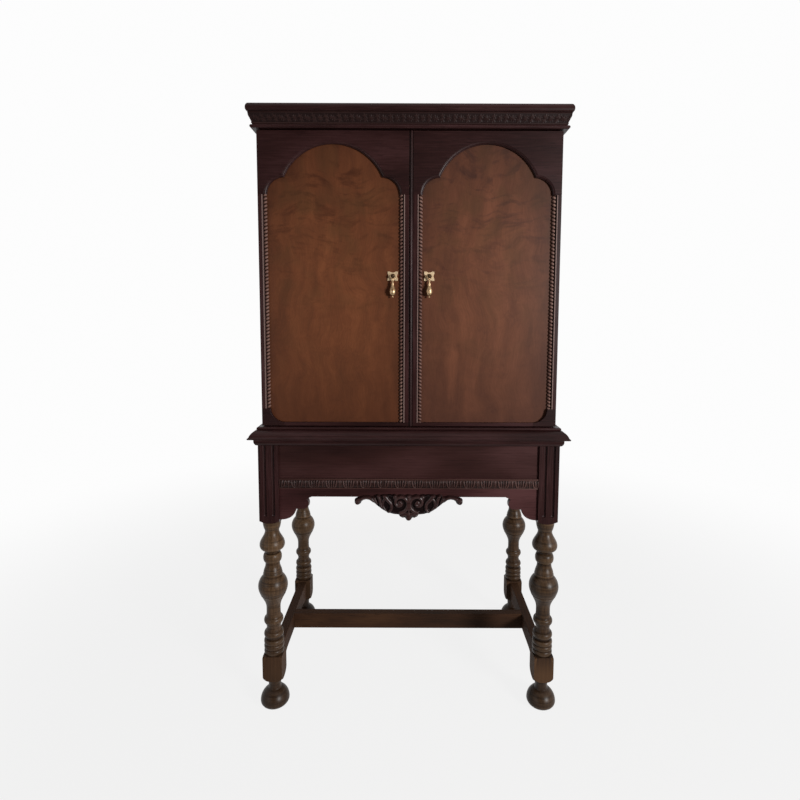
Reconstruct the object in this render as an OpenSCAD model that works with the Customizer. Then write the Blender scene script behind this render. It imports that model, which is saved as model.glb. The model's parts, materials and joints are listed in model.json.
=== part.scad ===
// Wine cabinet on a turned stand: a two-door case over a frieze with a carved crest,
// four turned legs with ball feet and an H-shaped stretcher. Lengths are in millimetres.
// +X is to the right seen from the front, -Y is the front and +Z is up. The origin is on
// the floor, under the middle of the cabinet's outer box.

/* [Upper case] */
// Width across the two side boards
case_w = 762; // [620:1:960]
// Depth from the door fronts to the back
case_d = 444; // [360:1:540]
// Height from the base strip to the top board
case_h = 747; // [560:1:900]
// Thickness of the side boards
side_t = 20; // [18:0.5:26]
// Thickness of the bottom board and of the shelf
board_t = 18; // [14:0.5:24]
// Thickness of the top board
top_board_t = 11; // [10:0.5:20]
// Thickness of the back panel
back_t = 6; // [4:0.5:9]
// Depth of the groove that the back panel sits in
rabbet = 8; // [5:0.5:11]
// Height of the shelf's underside above the bottom board
shelf_up = 350; // [200:1:400]
// Radius of a shelf pin
shelf_pin_r = 2.5; // [2:0.1:4]
// Length of a shelf pin outside its hole
shelf_pin_out = 9; // [6:0.5:14]
// Depth of a shelf pin's hole
shelf_pin_in = 10; // [6:0.5:13]
// Distance of the front shelf pins from the case's front edge
pin_front = 55; // [30:1:120]
// Distance of the rear shelf pins from the case's back
pin_back = 65; // [30:1:120]
// How far the shelf stands back from the case's front edge
shelf_set_back = 14; // [8:1:40]

/* [Cornice] */
// Height of the cornice's top board
cornice_top_h = 20; // [14:0.5:28]
// How far the top board stands out past the case
cornice_top_out = 21; // [18:0.5:32]
// Height of the carved moulding
cornice_mould_h = 27; // [18:0.5:40]
// How far the carved moulding stands out at its top
cornice_mould_out = 16; // [13:0.5:17.5]
// How far the fillet between the bead and the carving stands out
cornice_band_out = 9.5; // [7:0.5:11]
// Width of the moulding where it lies on the top board
cornice_rim = 34; // [24:1:60]
// Radius of the bead along the cornice's lower edge
cornice_bead_r = 4.5; // [3.5:0.25:4.75]

/* [Doors] */
// Thickness of the veneered door board
slab_t = 16; // [14:0.5:20]
// Thickness of the wood laid on the door board
overlay_t = 9; // [6:0.5:12]
// Space between the doors, and above and under them
door_gap = 2; // [1:0.25:4]
// Space between a closed door and the case
door_back_gap = 2; // [1.5:0.1:3]
// Width of the bead on the right door's meeting edge
bead_w = 6; // [4:0.25:8]
// How far that bead stands proud of the door front
bead_proud = 2; // [1:0.25:3]
// Width of the quirk between that bead and the overlay
quirk_w = 2; // [1:0.25:4]
// Depth of that quirk
quirk_d = 1.5; // [0.5:0.25:3]

/* [Door overlay] */
// Width of the flat strip on a door's meeting side
inner_flat = 11; // [8:0.5:18]
// Width of the flat strip on a door's hinge side
outer_flat = 9.5; // [6:0.5:18]
// Width of the raised fillet beside a flat strip
fillet_w = 2.5; // [1.5:0.25:4]
// How far the fillet stands proud of the strip
fillet_proud = 1; // [0.5:0.25:2]
// Width of a rope moulding
rope_w = 10.5; // [7:0.5:14]
// How far a rope moulding stands out of the door board
rope_h = 7; // [5:0.5:9]
// Height of the bottom strip
bottom_strip_h = 9; // [7:0.5:20]
// Radius of the rounded lower corner
corner_r = 36; // [20:1:60]
// Height from the ends of the arch to the door's top edge
spandrel_h = 155; // [140:1:200]
// Radius of the small arcs beside the arch
lobe_r = 43; // [30:1:55]
// Rise of the large arc above its two points
arch_rise = 81; // [60:1:84]
// Width of the moulding along the arch's edge
ovolo_w = 6; // [3:0.5:9]
// Depth of that moulding
ovolo_d = 4.5; // [2.5:0.5:5.5]

/* [Waist] */
// Thickness of the thin base strip under the case
base_h = 7; // [5:0.5:12]
// How far the stand and the base strip stand out past the case
stand_out = 10; // [8:0.5:20]
// Height of the moulded waist board
waist_h = 41; // [32:0.5:50]
// How far the waist board stands out past the case
waist_out = 32; // [28:0.5:50]
// Height of the waist board's rounded edge above its foot
waist_tip_up = 21; // [18:0.5:24]
// Radius of that edge
waist_tip_r = 2.5; // [1.5:0.25:3.5]
// Width of the bed mould under it
bed_w = 9; // [5:0.5:11]
// Height of the bed mould
bed_h = 13; // [8:0.5:14]

/* [Stand] */
// Height of the square posts
post_h = 209; // [180:0.5:260]
// Side of the square posts and of the leg blocks
post_w = 52; // [50:0.5:70]
// Radius of the grooves in the front posts
flute_r = 5; // [3:0.1:6]
// Distance of each groove from the post's middle
flute_x = 11; // [8:0.5:13]
// Height of a groove's round end above the post's foot
flute_stop = 18; // [8:0.5:30]
// Chamfer at a post's foot and at the leg blocks
shoulder = 7; // [4:0.5:8]
// How far the rails stand back from the posts' faces
rail_back = 6; // [3:0.5:10]
// Thickness of the rails
rail_t = 18; // [14:0.5:22]
// Height of the plain frieze
frieze_h = 87.5; // [70:0.5:110]
// Height of the carved moulding under the frieze
stand_mould_h = 27; // [18:0.5:36]
// How far that moulding stands out of the apron
stand_mould_out = 7; // [4:0.5:10]
// Height of the straight part of the rails
rail_h = 138; // [125:0.5:160]
// Reach of the shaped bracket from the post
bracket_reach = 85; // [80:1:110]
// Width of the bracket's large round
bracket_round = 37; // [24:0.5:42]
// Depth of the bracket's small round under the apron's edge
bracket_drop = 33; // [30:0.5:40]
// Height of the bracket's lower end above the post's foot
bracket_up = 9; // [2:0.5:20]
// Radius of the bracket's small round
bracket_nose_r = 14.5; // [9:0.5:15]
// Side of the square glue blocks in the stand's corners
glue_block = 36; // [24:1:50]
// Length of the tenons
tenon_l = 22; // [14:0.5:26]
// Thickness of the tenons
tenon_t = 9; // [6:0.5:12]

/* [Turned legs] */
// Height of the turned legs up to the posts
leg_h = 522; // [480:1:640]
// Radius of the flat pad under the foot
pad_r = 12; // [8:0.5:16]
// Radius of the ball foot
ball_r = 38.5; // [30:0.5:48]
// Height of the ball's widest point
ball_z = 19; // [15:0.5:28]
// Height of the neck over the ball
foot_neck_z = 60; // [54:0.5:66]
// Radius of the turned necks
neck_r = 18.5; // [15:0.5:22]
// Height of the lower block's underside
block_z = 81; // [76:0.5:94]
// Height of the lower block
block_h = 71; // [50:0.5:80]
// Height of the lower block's turned foot
block_round = 20; // [8:0.5:26]
// Height of each of the three small beads
small_bead_h = 14; // [11:0.25:14.75]
// Height of a ring
ring_h = 17; // [14:0.5:19]
// Height of the first ring's middle above the block
ring_1_up = 56; // [53:0.5:60]
// Height of the second ring's middle above the block
ring_2_up = 94.5; // [90:0.5:98]
// Height of the neck under the baluster above the block
neck_up = 117; // [113:1:126]
// Height of the baluster's lower curve
baluster_h = 60; // [48:1:64]
// Distance from the baluster's shoulder up to the leg's top
shoulder_down = 149.5; // [144:0.5:157]
// Distance from the middle of the ring under the bell up to the leg's top
collar_down = 100.5; // [97:0.5:104]
// Distance from the bell's widest point up to the leg's top
bell_down = 66; // [62:0.5:70]
// Height of the flare at the leg's top
flare_h = 26; // [18:0.5:30]
// Largest radius of the baluster
baluster_r = 39; // [30:0.5:46]
// Radius of the rings
ring_r = 25.5; // [21:0.25:28]
// Largest radius of the bell
bell_r = 33; // [26:0.5:40]
// Radius of the dowel on top of a leg
dowel_r = 12; // [8:0.5:14]
// Length of that dowel
dowel_l = 40; // [24:1:60]

/* [Stretcher] */
// Thickness of the stretcher rails
stretcher_t = 26; // [18:0.5:34]
// Height of the stretcher rails
stretcher_h = 46; // [34:0.5:52]
// Height of the stretchers' underside above the block's
stretcher_up = 20; // [15:0.5:24]
// Length of the deep part at each end of a side stretcher
deep_end = 18; // [10:1:40]
// Length of the S between the deep part and the straight one
deep_curve = 56; // [30:1:90]
// How far the side stretchers deepen at the legs
stretcher_drop = 10; // [6:0.5:12]

/* [Crest] */
// Width of the carved crest
crest_w = 284; // [240:1:360]
// Height of the crest under the apron's edge
crest_drop = 61; // [50:1:80]
// Height of the crest on the apron's face
crest_lap = 8; // [6:0.5:14]
// Thickness of the crest's ground
crest_t = 8; // [5:0.5:12]
// Height of the carving over the ground
scroll_proud = 6; // [3:0.5:9]
// Width of a scroll's band
band_w = 5; // [3:0.25:6.5]
// Width of a carved leaf
crest_leaf_w = 11; // [7:0.5:14]
// Outer radius of the two middle scrolls
scroll_r = 24; // [18:0.5:27]
// Radius of the end volutes
volute_r = 9; // [6:0.5:12]

/* [Pulls] */
// Height of the pulls' backplate centres above the doors' lower edge
pull_up = 386; // [250:1:500]
// Distance from the rope moulding to the pull's centre
pull_in = 17.5; // [16:0.5:60]
// Width of the backplate
plate_w = 26; // [22:0.5:40]
// Height of the backplate
plate_h = 23.5; // [20:0.5:36]
// Thickness of the backplate
plate_t = 2.5; // [1.5:0.25:4]
// Distance from the backplate to the drop's pin
drop_out = 7.5; // [6.5:0.25:9]
// Length of the drop under its pin
drop_l = 54.5; // [40:0.5:60]
// Largest radius of the drop
drop_r = 8; // [4:0.25:9.5]
// Radius of the drop's pin
drop_pin_r = 1; // [0.8:0.05:1.3]
// Radius of the post that carries the pin
pull_post_r = 2.2; // [1.6:0.1:3]
// Radius of the post's ball head
pull_head_r = 4.2; // [3.2:0.1:5]
// Radius of the wire of the drop's yoke
yoke_r = 1.3; // [1:0.05:1.6]

/* [Hinges and catches] */
// Length of a butt hinge
hinge_l = 63; // [48:1:90]
// Width of a hinge leaf
leaf_w = 16; // [13:0.5:18]
// Thickness of a hinge leaf
leaf_t = 1.5; // [1:0.1:2]
// Radius of a hinge barrel
barrel_r = 3; // [2.6:0.1:3.6]
// Radius of a hinge pin
hinge_pin_r = 1.25; // [1:0.05:1.5]
// Height of the head at each end of a hinge pin
pin_head = 1.2; // [0.8:0.1:2]
// Distance from a hinge's middle to the end of the door
hinge_end = 110; // [70:1:160]
// Width of a catch
catch_w = 30; // [20:1:44]
// Height of a catch
catch_h = 13; // [10:0.5:18]
// Depth of a catch
catch_d = 18; // [12:0.5:30]

/* [Fit] */
// Clearance of a wooden joint, on each side
wood_fit = 0.2; // [0.1:0.05:0.4]
// Radial clearance of a pin in its bore
pin_fit = 0.05; // [0.03:0.01:0.08]
// Clearance between pieces that pass each other
run_gap = 0.3; // [0.2:0.05:0.6]
// Space round the shelf
shelf_gap = 1; // [0.5:0.25:2]

/* [Hidden] */
$fn = 64;
half_w = case_w / 2;

// Depth: the waist board's front and the back legs' balusters are the outer faces
leg_proud = max(ball_r, baluster_r) - post_w / 2;
back_proud = max(0, leg_proud);
full_d = waist_out + case_d + back_proud;
y_door = -full_d / 2 + waist_out;
y_back = y_door + case_d;
y_slab = y_door + overlay_t;
y_slab_back = y_slab + slab_t;
y_hinge = y_slab_back + door_back_gap / 2;
y_case = y_slab_back + door_back_gap;

// Heights, stacked from the floor
z_post = leg_h;
z_waist = z_post + post_h;
z_base = z_waist + waist_h;
z_case = z_base + base_h;
z_top = z_case + case_h;
z_mould = z_top + top_board_t;
z_cap = z_mould + cornice_mould_h;
total_h = z_cap + cornice_top_h;

// Doors
door_z0 = z_case + door_gap;
door_z1 = z_top - door_gap;
door_x0 = door_gap / 2;
door_x1 = half_w;
bead_room = bead_w + quirk_w;
rope_x1 = door_x1 - outer_flat - fillet_w;
rope_x0 = rope_x1 - rope_w;
arch_z = door_z1 - spandrel_h;
bracket_z = door_z0 + bottom_strip_h + corner_r;

// Stand
post_x = half_w + stand_out - post_w / 2;
post_y_front = y_door - stand_out + post_w / 2;
post_y_back = y_back - post_w / 2;
span_x = post_x - post_w / 2;
rail_y = y_door - stand_out + rail_back;
rail_x = half_w + stand_out - rail_back;
back_rail_y = y_back - rail_back;
z_frieze = z_waist - frieze_h;
z_mid = (z_frieze + z_waist) / 2;
z_apron = z_waist - rail_h;
tenon_h = frieze_h * 0.6;
block_top = block_z + block_h;
block_r = post_w * 0.72;
flare_r = post_w * 0.43;
stretcher_z = block_z + stretcher_up;

// Hinges and pulls
hinge_x = half_w + 0.5;
hinge_zs = [door_z0 + hinge_end, door_z1 - hinge_end];
leaf_in = hinge_x - barrel_r - run_gap;
pull_z = door_z0 + pull_up;
y_pin = y_slab - plate_t - drop_out;
yoke_x = pull_head_r + run_gap + yoke_r;

// Colours
dark = "#35201f";
walnut = "#5f4836";
rail_brown = "#4a3022";
veneer = "#6d432d";
brass = "#b89a72";
inside = "#7a5a42";
steel = "#9a9a98";

// Points of an arc about a centre, from one angle to another
function arc(cx, cy, r, a0, a1, n = 12) =
    [for (i = [0:n]) let (a = a0 + (a1 - a0) * i / n) [cx + r * cos(a), cy + r * sin(a)]];

// Points of a half round ring on a turned leg, from the radius r0 out to r1
function ring(z0, z1, r0, r1, n = 10) =
    [for (i = [0:n]) let (a = 180 * i / n)
        [r0 + (r1 - r0) * sin(a), (z0 + z1) / 2 - (z1 - z0) / 2 * cos(a)]];

// Points of a smooth S from one point to another, upright at both ends
function ease(p0, p1, n = 8) =
    [for (i = [0:n]) let (t = i / n)
        [p0[0] + (p1[0] - p0[0]) * (1 - cos(180 * t)) / 2, p0[1] + (p1[1] - p0[1]) * t]];

// Points of a quarter ellipse from one point to another; it starts upright or ends upright
function quarter(p0, p1, upright_first = true, n = 8) =
    [for (i = [0:n]) let (a = 90 * i / n, u = upright_first ? 1 - cos(a) : sin(a),
        v = upright_first ? sin(a) : 1 - cos(a))
        [p0[0] + (p1[0] - p0[0]) * u, p0[1] + (p1[1] - p0[1]) * v]];

// Points of a shallow bow from one point to another, raised to the right of its way
function bow(p0, p1, rise, n = 8) = let (way = p1 - p0, out = [way[1], -way[0]] / norm(way))
    [for (i = [0:n]) let (t = i / n) p0 + t * way + 4 * t * (1 - t) * rise * out];

// Points of a curve from p[0] to p[2] that p[1] draws towards itself
function bent(p, n = 10) =
    [for (i = [0:n]) let (t = i / n, s = 1 - t) s * s * p[0] + 2 * s * t * p[1] + t * t * p[2]];

// A box from its lowest to its highest corner
module box(low, high) {
    translate(low) cube(high - low);
}

// A plate with a given outline in X and Z, from y0 back to y1
module upright_plate(y0, y1) {
    translate([0, y1, 0]) rotate([90, 0, 0]) linear_extrude(y1 - y0) children();
}

// A board whose front and side edges follow a profile of [distance out, height] points
module moulded_board(profile) {
    n = len(profile);
    reach = half_w + waist_out + 10;
    front_view = concat([for (p = profile) [half_w + p[0], p[1]]],
        [for (i = [n - 1:-1:0]) [-half_w - profile[i][0], profile[i][1]]]);
    side_view = concat([for (p = profile) [y_door - p[0], p[1]]],
        [[y_back, profile[n - 1][1]], [y_back, profile[0][1]]]);
    intersection() {
        upright_plate(y_door - waist_out - 10, y_back) polygon(front_view);
        translate([-reach, 0, 0]) rotate([90, 0, 90])
            linear_extrude(2 * reach) polygon(side_view);
    }
}

module mirrored(left) {
    if (left) mirror([1, 0, 0]) children();
    else children();
}

// Turned legs

neck_z = block_top + neck_up;
shoulder_z = leg_h - shoulder_down;
belly_z = shoulder_z - 0.79 * baluster_r;
drum_r = ring_r - 2;
half_ring = ring_h / 2;

// Ball foot: a flattened round on a flat pad, then a neck and a flare up to the block
function foot_points() = let (neck = neck_r - 2,
        low = acos(pad_r / ball_r), high = acos((neck + 1.5) / ball_r),
        under = ball_z / sin(low), over = (foot_neck_z - 8.5 - ball_z) / sin(high))
    concat([[0, 0]],
        [for (i = [0:9]) let (a = low * (i / 9 - 1)) [ball_r * cos(a), ball_z + under * sin(a)]],
        [for (i = [1:11]) let (a = high * i / 11) [ball_r * cos(a), ball_z + over * sin(a)]],
        [[neck, foot_neck_z - 4], [neck, foot_neck_z]],
        quarter([neck, foot_neck_z + 1], [flare_r, block_z], true, 6),
        [[0, block_z]]);

// From the block up to the first neck: three small beads, two rings and the narrow necks
function low_shaft_points() = let (b = block_top, r1 = b + ring_1_up, r2 = b + ring_2_up,
        between = (r1 + r2) / 2)
    concat([[0, b], [drum_r, b]],
        [for (k = [0:2]) each ring(b + 1 + k * small_bead_h, b + (k + 1) * small_bead_h,
            drum_r, ring_r + 1, 6)],
        [[neck_r + 2, b + 3 * small_bead_h + 1], [neck_r + 2, r1 - half_ring - 1]],
        ring(r1 - half_ring, r1 + half_ring, neck_r + 2, ring_r + 0.5),
        ease([neck_r + 1.5, r1 + half_ring + 2], [neck_r, between - 0.5], 3),
        ease([neck_r, between + 0.5], [neck_r + 2, r2 - half_ring - 2], 3),
        ring(r2 - half_ring, r2 + half_ring, neck_r + 2, ring_r),
        ease([neck_r + 1, r2 + half_ring + 2], [neck_r, neck_z], 4));

// The baluster: an S up to its widest point with an incised line in it, then a round
function baluster_points() = let (z0 = belly_z - baluster_h, line_z = z0 + 0.63 * baluster_h,
        line_r = neck_r + (baluster_r - neck_r) * (1 - cos(180 * 0.63)) / 2,
        curve = ease([neck_r, z0], [baluster_r, belly_z], 14))
    concat([for (p = curve) if (p[1] < line_z - 1) p],
        [[line_r, line_z - 0.8], [line_r - 1.2, line_z], [line_r + 0.4, line_z + 0.8]],
        [for (p = curve) if (p[1] > line_z + 2) p],
        arc(0, belly_z, baluster_r, 4, asin(0.79)));

// From the baluster up: a ring, the bell and the flare under the post
function high_shaft_points() = let (t = leg_h, collar = t - collar_down, bell = t - bell_down)
    concat([[ring_r, shoulder_z + 1], [ring_r, shoulder_z + 5]],
        ease([ring_r - 1, shoulder_z + 7], [neck_r + 0.5, collar - 1.15 * ring_h], 5),
        ring(collar - 0.75 * ring_h, collar + 0.75 * ring_h, neck_r, ring_r - 1),
        [[neck_r - 1, collar + 0.8 * ring_h], [neck_r - 1, bell - ring_h]],
        quarter([neck_r + 4, bell - 0.75 * ring_h], [bell_r, bell], false, 6),
        ease([bell_r, bell + 1], [neck_r, t - flare_h - 1], 10),
        bow([neck_r, t - flare_h], [post_w / 2 - 2, t - 4], 1, 6),
        [[post_w / 2 - 2, t], [dowel_r, t], [dowel_r, t + dowel_l], [0, t + dowel_l]]);

// A square block from z0 to z1 whose corners are turned to the given points
module turned_block(z0, z1, points) {
    intersection() {
        box([-post_w / 2, -post_w / 2, z0], [post_w / 2, post_w / 2, z1]);
        rotate_extrude() polygon(concat([[0, z0]], points, [[0, z1]]));
    }
}

// A tenon that runs along +Y from a shoulder at the origin, or the mortise for it
module tenon(length, height, fit = 0) {
    box([-tenon_t / 2 - fit, -0.01, -height / 2 - fit],
        [tenon_t / 2 + fit, length + fit, height / 2 + fit]);
}

// A right leg at its depth y; turn is 0 if its stretcher leaves backwards, or 180
module leg(y, turn) {
    color(walnut) translate([post_x, y, 0]) {
        rotate_extrude() polygon(foot_points());
        difference() {
            turned_block(block_z, block_top, concat(
                quarter([flare_r, block_z], [block_r, block_z + block_round], false),
                [[block_r, block_top - shoulder / 2], [block_r - 0.8 * shoulder, block_top]]));
            translate([0, 0, stretcher_z + stretcher_h / 2]) rotate([0, 0, turn])
                translate([0, post_w / 2, 0]) mirror([0, 1, 0])
                    tenon(tenon_l, stretcher_h * 0.6, wood_fit);
        }
        rotate_extrude() polygon(concat(low_shaft_points(), baluster_points(),
            high_shaft_points()));
    }
}

module leg_front_right() { leg(post_y_front, 0); }
module leg_front_left() { mirror([1, 0, 0]) leg_front_right(); }
module leg_back_right() { leg(post_y_back, 180); }
module leg_back_left() { mirror([1, 0, 0]) leg_back_right(); }

// A front post's two grooves, which run up from round ends
module flutes() {
    for (x = [-flute_x, flute_x]) translate([x, -post_w / 2 - 0.5, 0]) {
        translate([0, 0, z_post + flute_stop + flute_r]) {
            sphere(flute_r);
            cylinder(h = post_h, r = flute_r);
        }
    }
}

// A right post; its mortises take the rail across the cabinet and the side rail
module post(y, is_front) {
    rail_mid = is_front ? rail_y + rail_t / 2 : back_rail_y - rail_t / 2;
    color(dark) translate([post_x, y, 0]) difference() {
        turned_block(z_post, z_waist, [[block_r - 1.6 * shoulder, z_post],
            [block_r, z_post + shoulder], [block_r, z_waist]]);
        translate([0, 0, z_post - 1]) cylinder(h = dowel_l + 1.5, r = dowel_r + wood_fit);
        translate([-post_w / 2, rail_mid - y, z_mid]) rotate([0, 0, -90])
            tenon(tenon_l, tenon_h, wood_fit);
        translate([rail_x - rail_t / 2 - post_x, is_front ? post_w / 2 : -post_w / 2, z_mid])
            rotate([0, 0, is_front ? 180 : 0]) tenon(tenon_l, tenon_h, wood_fit);
        if (is_front) flutes();
    }
}

module post_front_right() { post(post_y_front, true); }
module post_front_left() { mirror([1, 0, 0]) post_front_right(); }
module post_back_right() { post(post_y_back, false); }
module post_back_left() { mirror([1, 0, 0]) post_back_right(); }

// Stretchers

// Side stretcher: its lower edge deepens in an S at both legs
module side_stretcher_right() {
    y0 = post_y_front + post_w / 2;
    y1 = post_y_back - post_w / 2;
    z0 = stretcher_z;
    z1 = stretcher_z + stretcher_h;
    curve = ease([z0 - stretcher_drop, y0 + deep_end], [z0, y0 + deep_end + deep_curve], 10);
    edge = concat([[y0, z0 - stretcher_drop]], [for (p = curve) [p[1], p[0]]]);
    mid = (y0 + y1) / 2;
    back_edge = [for (i = [len(edge) - 1:-1:0]) [2 * mid - edge[i][0], edge[i][1]]];
    color(rail_brown) difference() {
        union() {
            translate([post_x - stretcher_t / 2, 0, 0]) rotate([90, 0, 90])
                linear_extrude(stretcher_t)
                    polygon(concat([[y0, z1]], edge, back_edge, [[y1, z1]]));
            translate([post_x, y1, (z0 + z1) / 2]) tenon(tenon_l, stretcher_h * 0.6);
            translate([post_x, y0, (z0 + z1) / 2]) rotate([0, 0, 180])
                tenon(tenon_l, stretcher_h * 0.6);
        }
        translate([post_x - stretcher_t / 2, mid, (z0 + z1) / 2]) rotate([0, 0, -90])
            tenon(stretcher_t * 0.6, stretcher_h * 0.6, wood_fit);
    }
}
module side_stretcher_left() { mirror([1, 0, 0]) side_stretcher_right(); }

module cross_stretcher() {
    x1 = post_x - stretcher_t / 2;
    mid = (post_y_front + post_y_back) / 2;
    color(rail_brown) translate([0, mid, stretcher_z]) {
        box([-x1, -stretcher_t / 2, 0], [x1, stretcher_t / 2, stretcher_h]);
        for (turn = [0, 180]) rotate([0, 0, turn]) translate([x1, 0, stretcher_h / 2])
            rotate([0, 0, -90]) tenon(stretcher_t * 0.6, stretcher_h * 0.6);
    }
}

// Rails of the stand

// A board across the cabinet between two posts, with a tenon at each end
module cross_rail(y0, z0) {
    box([-span_x, y0, z0], [span_x, y0 + rail_t, z_waist]);
    for (turn = [0, 180]) translate([0, y0 + rail_t / 2, z_mid]) rotate([0, 0, turn])
        translate([span_x, 0, 0]) rotate([0, 0, -90]) tenon(tenon_l, tenon_h);
}

module frieze_panel() { color(dark) cross_rail(rail_y, z_frieze); }
module back_rail() { color(dark) cross_rail(back_rail_y - rail_t, z_apron); }

module side_rail_right() {
    y0 = post_y_front + post_w / 2;
    y1 = post_y_back - post_w / 2;
    x_mid = rail_x - rail_t / 2;
    color(dark) {
        box([rail_x - rail_t, y0, z_apron], [rail_x, y1, z_waist]);
        translate([x_mid, y1, z_mid]) tenon(tenon_l, tenon_h);
        translate([x_mid, y0, z_mid]) rotate([0, 0, 180]) tenon(tenon_l, tenon_h);
    }
}
module side_rail_left() { mirror([1, 0, 0]) side_rail_right(); }

// Carved moulding under the frieze: a fillet, a swelling band and a lower lip
module frieze_moulding() {
    z1 = z_frieze - 1;
    h = stand_mould_h;
    z0 = z1 - h;
    out = stand_mould_out;
    profile = concat([[0, z0], [out * 0.45, z0], [out * 0.45, z0 + 0.08 * h]],
        ring(z0 + 0.1 * h, z1 - 0.15 * h, out * 0.4, out),
        [[out * 0.5, z1 - 0.13 * h], [out * 0.65, z1 - 0.11 * h], [out * 0.65, z1], [0, z1]]);
    color(dark) translate([-span_x, 0, 0]) rotate([90, 0, 90])
        linear_extrude(2 * span_x) polygon([for (p = profile) [rail_y - p[0], p[1]]]);
}

// Half of the apron's lower edge, from the middle out to the post: a small nose, then
// a large round that ends just over the post's foot
function apron_half() = let (low = z_apron - bracket_drop, foot_x = span_x - 0.8 * shoulder,
        nose_x = span_x - bracket_reach + 1.55 * bracket_nose_r, foot_z = z_post + bracket_up)
    concat([[0, z_apron], [span_x - bracket_reach, z_apron]],
        arc(nose_x, low + bracket_nose_r, bracket_nose_r, -235, -90, 14),
        quarter([foot_x - bracket_round, low], [foot_x, foot_z], true, 10),
        [[span_x, foot_z], [span_x, z_frieze]]);

module apron() {
    half = apron_half();
    color(dark) upright_plate(rail_y, rail_y + rail_t)
        polygon(concat(half, [for (i = [len(half) - 1:-1:1]) [-half[i][0], half[i][1]]]));
}

// Crest

// The crest is drawn 284 wide and 61 deep under the apron's edge; this stretches points of
// that drawing to the crest's real size
function on_crest(points) =
    [for (p = points) [p[0] * crest_w / 284, z_apron + p[1] * crest_drop / 61]];

// Points of a scroll that winds in from the radius r0 to r1
function scroll(r0, r1, a0, a1, n = 36) =
    [for (i = [0:n]) let (t = i / n, r = r0 + (r1 - r0) * t, a = a0 + (a1 - a0) * t)
        [r * cos(a), r * sin(a)]];

// Outline of a leaf along a curve given like that of bent, widest in its middle
function leaf(p, width, n = 10) = let (mid = bent(p, n),
        way = [for (i = [0:n]) (1 - i / n) * (p[1] - p[0]) + i / n * (p[2] - p[1])],
        side = [for (i = [0:n]) width / 2 * (0.12 + 0.88 * sin(180 * i / n))
            * [-way[i][1], way[i][0]] / norm(way[i])])
    concat(mid + side, [for (i = [n:-1:0]) mid[i] - side[i]]);

// Outline of the crest's right half: a scalloped top, the end volute, an arch, an S and the
// bud in the middle
function crest_half() = concat(
    [for (i = [0:24]) let (x = 4 * i) [x * crest_w / 284, z_apron
        + crest_lap * (0.65 + 0.35 * cos(x * 360 / 24))]],
    on_crest([[118, 3], [133, -1], [133, -19]]),
    on_crest(bent([[124, -9], [110, -1], [95, -9]], 6)),
    on_crest(bent([[94, -10], [64, -44], [25, -45]], 8)),
    on_crest(bent([[23, -47], [8, -52], [0, crest_bottom]], 5)));
crest_bottom = -61;

// Curves of the right half's leaves, each from its foot by a middle point to its tip
crest_leaves = [[[30, -42], [58, -40], [49, -17]], [[66, -30], [64, -10], [44, 0]],
    [[80, -20], [72, -8], [79, 5]], [[93, -9], [82, -6], [88, 6]], [[134, -7], [122, 5], [103, 5]]];

module apron_crest() {
    half = crest_half();
    front = rail_y - crest_t;
    eye = on_crest([[23.6, -12]])[0];
    color(dark) {
        upright_plate(front, rail_y)
            polygon(concat(half, [for (i = [len(half) - 2:-1:1]) [-half[i][0], half[i][1]]]));
        for (left = [false, true]) mirrored(left) {
            upright_plate(front - scroll_proud / 2, rail_y)
                translate(on_crest([[133, -10]])[0]) circle(volute_r);
            upright_plate(front - scroll_proud, front) translate(eye)
                polygon(concat(scroll(scroll_r, 0.3 * scroll_r, 258, -180),
                    [for (i = [36:-1:0]) scroll(scroll_r - band_w, 0.17 * scroll_r, 258, -180)[i]]));
            translate([eye[0], front, eye[1]]) sphere(0.19 * scroll_r);
            for (p = crest_leaves) crest_leaf(front, p);
        }
        crest_leaf(front, [[0, -34], [0, -13], [0, 8]]);
        intersection() {
            translate([0, front + 1, 0]) rotate_extrude()
                polygon(on_crest(concat([[0, crest_bottom]], ease([1, -60], [8, -46]),
                    quarter([8, -45], [2, -35]), [[0, -35]])));
            box([-scroll_r, front - scroll_r, z_apron - crest_drop], [scroll_r, rail_y, z_apron]);
        }
    }
}

// A leaf on the crest with a narrower ridge on it
module crest_leaf(front, p) {
    upright_plate(front - 0.6 * scroll_proud, front)
        polygon(leaf(on_crest(p), crest_leaf_w));
    upright_plate(front - 0.9 * scroll_proud, front)
        polygon(leaf(on_crest(p), 0.45 * crest_leaf_w));
}

// Triangular blocks glued into the corners behind the rails
module glue_blocks() {
    g = glue_block;
    color(inside) for (left = [false, true]) mirrored(left)
        for (c = [[rail_y + rail_t, 1], [back_rail_y - rail_t, -1]])
            translate([span_x, c[0], z_waist - g]) linear_extrude(g)
                polygon([[0, 0], [-g, 0], [0, c[1] * (post_w - rail_t - rail_back)]]);
}

// Waist

// Waist board: a bed mould, a flat underside, a narrow rounded edge and a slope up to the case
module waist_board() {
    r = waist_tip_r;
    tip_z = z_waist + waist_tip_up;
    color(dark) moulded_board(concat(
        quarter([stand_out, z_waist], [stand_out + bed_w, z_waist + bed_h], false, 6),
        [[stand_out + bed_w, tip_z - r]],
        arc(waist_out - r, tip_z, r, -90, 30, 6),
        bow([waist_out - 1.2 * r, tip_z + 1.2 * r], [stand_out + 1, z_base], 3)));
}

// Thin strip with a round nose that the case stands on
module base_strip() {
    r = base_h / 2;
    color(dark) moulded_board(arc(stand_out + 2 - r, z_base + r, r, -90, 90, 10));
}

// Case

// Leaf recess and barrel clearance for the hinges, cut from one face; side is 1 for the
// case behind the hinge's axis and -1 for the door before it
module hinge_cut(face_y, side) {
    half = hinge_l / 2 + run_gap;
    for (z = hinge_zs) {
        box([hinge_x - leaf_w, min(face_y, face_y + side * leaf_t), z - half],
            [half_w + 1, max(face_y, face_y + side * leaf_t), z + half]);
        translate([hinge_x, y_hinge, z - half - pin_head])
            cylinder(h = 2 * (half + pin_head), r = barrel_r + run_gap);
    }
}

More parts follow.
